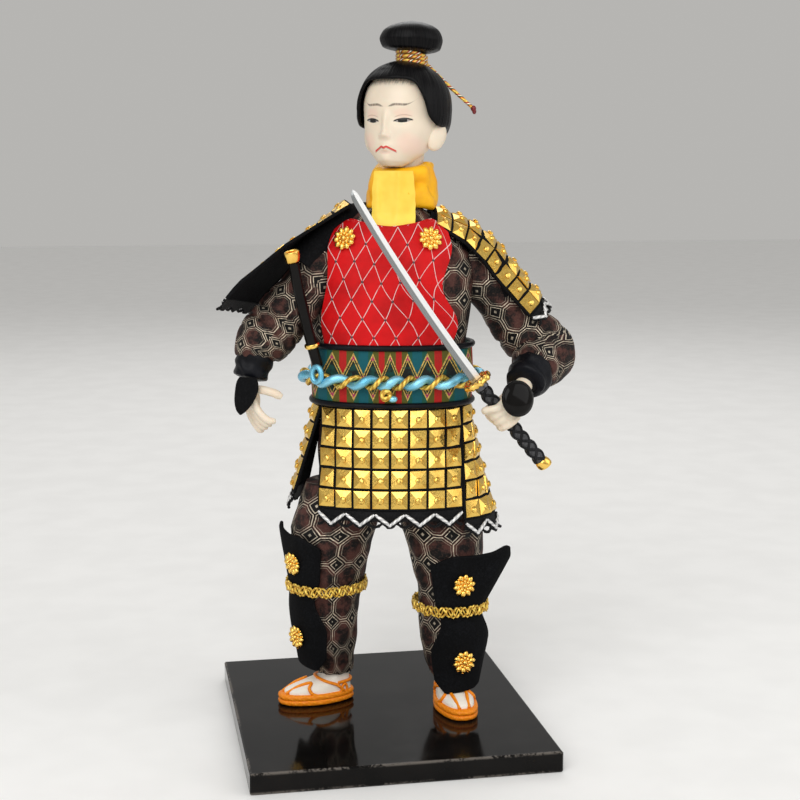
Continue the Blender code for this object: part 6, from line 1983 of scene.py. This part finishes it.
def floor_finish():
    """Pale matt paper."""
    finish = Finish("studio_floor", roughness=0.9, specular_ior_level=0.1)
    grain = finish.noise(None, 30.0, 2.0, 0.5)
    finish.set("Base Color", finish.mix(grain.ramp(0.3, 0.7), (0.86, 0.855, 0.84), (0.89, 0.885, 0.87)))
    return finish.material


def world_light():
    """Even light on the doll, and a pale backdrop for the camera and clear views."""
    world = bpy.data.worlds.new("studio")
    world.use_nodes = True
    shades = Shades(world.node_tree)
    shades.tree.nodes.clear()
    camera = shades.node("ShaderNodeLightPath", {}, {}, output="Is Camera Ray")
    clear = shades.node("ShaderNodeLightPath", {}, {}, output="Is Transmission Ray")
    light = shades.node("ShaderNodeBackground", {}, {"Color": (1.0, 0.99, 0.97), "Strength": 0.5})
    backdrop = shades.node("ShaderNodeBackground", {}, {"Color": (0.47, 0.463, 0.447), "Strength": 1.0})
    either = shades.node("ShaderNodeMixShader", {}, [camera.most(clear), light, backdrop])
    shades.put(shades.tree.nodes.new("ShaderNodeOutputWorld").inputs["Surface"], either)
    bpy.context.scene.world = world


def stage_pieces():
    """Floor, lamps, world light and camera."""
    bm = new_mesh()
    bmesh.ops.create_grid(bm, x_segments=1, y_segments=1, size=4.0)
    mesh = mesh_of("studio_floor", bm)
    mesh.materials.append(floor_finish())
    floor = bpy.data.objects.new("studio_floor", mesh)
    bpy.context.collection.objects.link(floor)
    aim = (0.0, 0.0, 0.15)
    lamp("key_lamp", (-0.45, -1.0, 0.9), aim, 1.2, 12.0)
    lamp("side_lamp", (1.0, -0.6, 0.7), aim, 1.0, 4.0)
    lamp("back_lamp", (0.2, 1.0, 1.1), aim, 0.8, 4.0)
    world_light()
    camera_piece()
    bpy.context.scene.view_settings.view_transform = "Standard"


# Settings, operators and panel

class DollSizes(bpy.types.PropertyGroup):
    """Sizes that change the dressing but not the solids."""

    stud_rise: FloatProperty(name="Stud rise", description="Height of the studs as a share of the drawn one",
                             default=1.0, min=0.3, max=1.5, subtype="FACTOR")
    crease_depth: FloatProperty(name="Crease depth", description="Depth of the creases where the arms bend",
                                default=1.5 * MM, min=0.0, max=3 * MM, unit="LENGTH")
    bead_radius: FloatProperty(name="Bead radius", description="Radius of the beads on the chest panel",
                               default=0.5 * MM, min=0.2 * MM, max=1 * MM, unit="LENGTH")


def colour_setting(name, description, default):
    """A colour that the panel shows."""
    return FloatVectorProperty(name=name, description=description, default=default, subtype="COLOR", size=3,
                               min=0.0, max=1.0)


class DollColours(bpy.types.PropertyGroup):
    """Colours of the doll's main cloths and paint."""

    skin: colour_setting("Face", "Painted skin of the face and neck", (0.76, 0.65, 0.51))
    chest: colour_setting("Chest panel", "Satin of the chest panel", (0.64, 0.006, 0.008))
    brocade_fill: colour_setting("Brocade ground", "Warm threads of the brocade", (0.075, 0.028, 0.022))
    brocade_line: colour_setting("Brocade lines", "Silver threads of the brocade", (0.8, 0.69, 0.53))
    belt_olive: colour_setting("Belt olive", "Olive triangles of the belt", (0.1, 0.095, 0.014))
    belt_teal: colour_setting("Belt teal", "Teal triangles of the belt", (0.006, 0.1, 0.125))


class DOLL_OT_base(bpy.types.Operator):
    """Lacquer the base plate"""
    bl_idname = "doll.base"
    bl_label = "Base"

    def execute(self, context):
        dress_node("base_plate", "lacquer")
        return {"FINISHED"}


class DOLL_OT_feet(bpy.types.Operator):
    """Make both sandalled feet and finish the wires that pin them"""
    bl_idname = "doll.feet"
    bl_label = "Feet"

    def execute(self, context):
        for side in SIDES:
            foot_pieces(side)
            dress_node(side + "_foot_wire", "dark_steel")
        return {"FINISHED"}


class DOLL_OT_legs(bpy.types.Operator):
    """Make both trouser legs"""
    bl_idname = "doll.legs"
    bl_label = "Trouser legs"

    def execute(self, context):
        for side in SIDES:
            leg_pieces(side)
        return {"FINISHED"}


class DOLL_OT_shins(bpy.types.Operator):
    """Make both shin guards with their braids and rosettes"""
    bl_idname = "doll.shins"
    bl_label = "Shin armour"

    def execute(self, context):
        for side in SIDES:
            shin_pieces(side)
        return {"FINISHED"}


class DOLL_OT_trunk(bpy.types.Operator):
    """Make the padded jacket"""
    bl_idname = "doll.trunk"
    bl_label = "Jacket"

    def execute(self, context):
        trunk_pieces()
        return {"FINISHED"}


class DOLL_OT_chest(bpy.types.Operator):
    """Make the chest panel with its beads and rosettes"""
    bl_idname = "doll.chest"
    bl_label = "Chest panel"

    def execute(self, context):
        chest_pieces()
        return {"FINISHED"}


class DOLL_OT_belt(bpy.types.Operator):
    """Make the belt, its piping and its rope"""
    bl_idname = "doll.belt"
    bl_label = "Belt and rope"

    def execute(self, context):
        belt_pieces()
        return {"FINISHED"}


class DOLL_OT_skirt(bpy.types.Operator):
    """Make the four studded skirt panels with their lace"""
    bl_idname = "doll.skirt"
    bl_label = "Skirt"

    def execute(self, context):
        skirt_pieces()
        return {"FINISHED"}


class DOLL_OT_arms(bpy.types.Operator):
    """Make both sleeves and cuffs"""
    bl_idname = "doll.arms"
    bl_label = "Sleeves and cuffs"

    def execute(self, context):
        for side in SIDES:
            sleeve_pieces(side)
            cuff_pieces(side)
        return {"FINISHED"}


class DOLL_OT_shoulders(bpy.types.Operator):
    """Make both shoulder guards with their lace"""
    bl_idname = "doll.shoulders"
    bl_label = "Shoulder guards"

    def execute(self, context):
        for side in SIDES:
            shoulder_pieces(side)
        shoulder_black_rolls()
        return {"FINISHED"}


class DOLL_OT_hands(bpy.types.Operator):
    """Make both hands with the pads over their backs"""
    bl_idname = "doll.hands"
    bl_label = "Hands"

    def execute(self, context):
        right_hand_pieces()
        left_hand_pieces()
        return {"FINISHED"}


class DOLL_OT_head(bpy.types.Operator):
    """Make the painted head"""
    bl_idname = "doll.head"
    bl_label = "Head"

    def execute(self, context):
        head_pieces()
        return {"FINISHED"}


class DOLL_OT_hair(bpy.types.Operator):
    """Make the combed hair, the topknot and its tie"""
    bl_idname = "doll.hair"
    bl_label = "Hair"

    def execute(self, context):
        hair_pieces()
        return {"FINISHED"}


class DOLL_OT_scarf(bpy.types.Operator):
    """Make the scarf and its hanging end"""
    bl_idname = "doll.scarf"
    bl_label = "Scarf"

    def execute(self, context):
        scarf_wrap()
        scarf_drop()
        return {"FINISHED"}


class DOLL_OT_sword(bpy.types.Operator):
    """Make the sword"""
    bl_idname = "doll.sword"
    bl_label = "Sword"

    def execute(self, context):
        sword_pieces()
        return {"FINISHED"}


class DOLL_OT_scabbard(bpy.types.Operator):
    """Make the scabbard"""
    bl_idname = "doll.scabbard"
    bl_label = "Scabbard"

    def execute(self, context):
        scabbard_pieces()
        return {"FINISHED"}


class DOLL_OT_stage(bpy.types.Operator):
    """Set the floor, lamps, world light and camera"""
    bl_idname = "doll.stage"
    bl_label = "Stage"

    def execute(self, context):
        stage_pieces()
        return {"FINISHED"}


OPERATORS = (DOLL_OT_base, DOLL_OT_feet, DOLL_OT_legs, DOLL_OT_shins, DOLL_OT_trunk, DOLL_OT_chest,
             DOLL_OT_belt, DOLL_OT_skirt, DOLL_OT_arms, DOLL_OT_shoulders, DOLL_OT_hands, DOLL_OT_head,
             DOLL_OT_hair, DOLL_OT_scarf, DOLL_OT_sword, DOLL_OT_scabbard, DOLL_OT_stage)


class DOLL_PT_panel(bpy.types.Panel):
    """Lists the doll's settings and the steps that dress it"""
    bl_idname = "DOLL_PT_panel"
    bl_label = "Samurai doll"
    bl_space_type = "VIEW_3D"
    bl_region_type = "UI"
    bl_category = "Doll"

    def draw(self, context):
        for group in (context.scene.doll_sizes, context.scene.doll_colours):
            for name in group.__annotations__:
                self.layout.prop(group, name)
        for operator in OPERATORS:
            self.layout.operator(operator.bl_idname)


CLASSES = (DollSizes, DollColours, *OPERATORS, DOLL_PT_panel)


def register():
    for made in CLASSES:
        bpy.utils.register_class(made)
    bpy.types.Scene.doll_sizes = PointerProperty(type=DollSizes)
    bpy.types.Scene.doll_colours = PointerProperty(type=DollColours)


def unregister():
    del bpy.types.Scene.doll_colours
    del bpy.types.Scene.doll_sizes
    for made in reversed(CLASSES):
        bpy.utils.unregister_class(made)


def main():
    register()
    for operator in OPERATORS:
        group, name = operator.bl_idname.split(".")
        getattr(getattr(bpy.ops, group), name)()


if __name__ == "__main__":
    main()
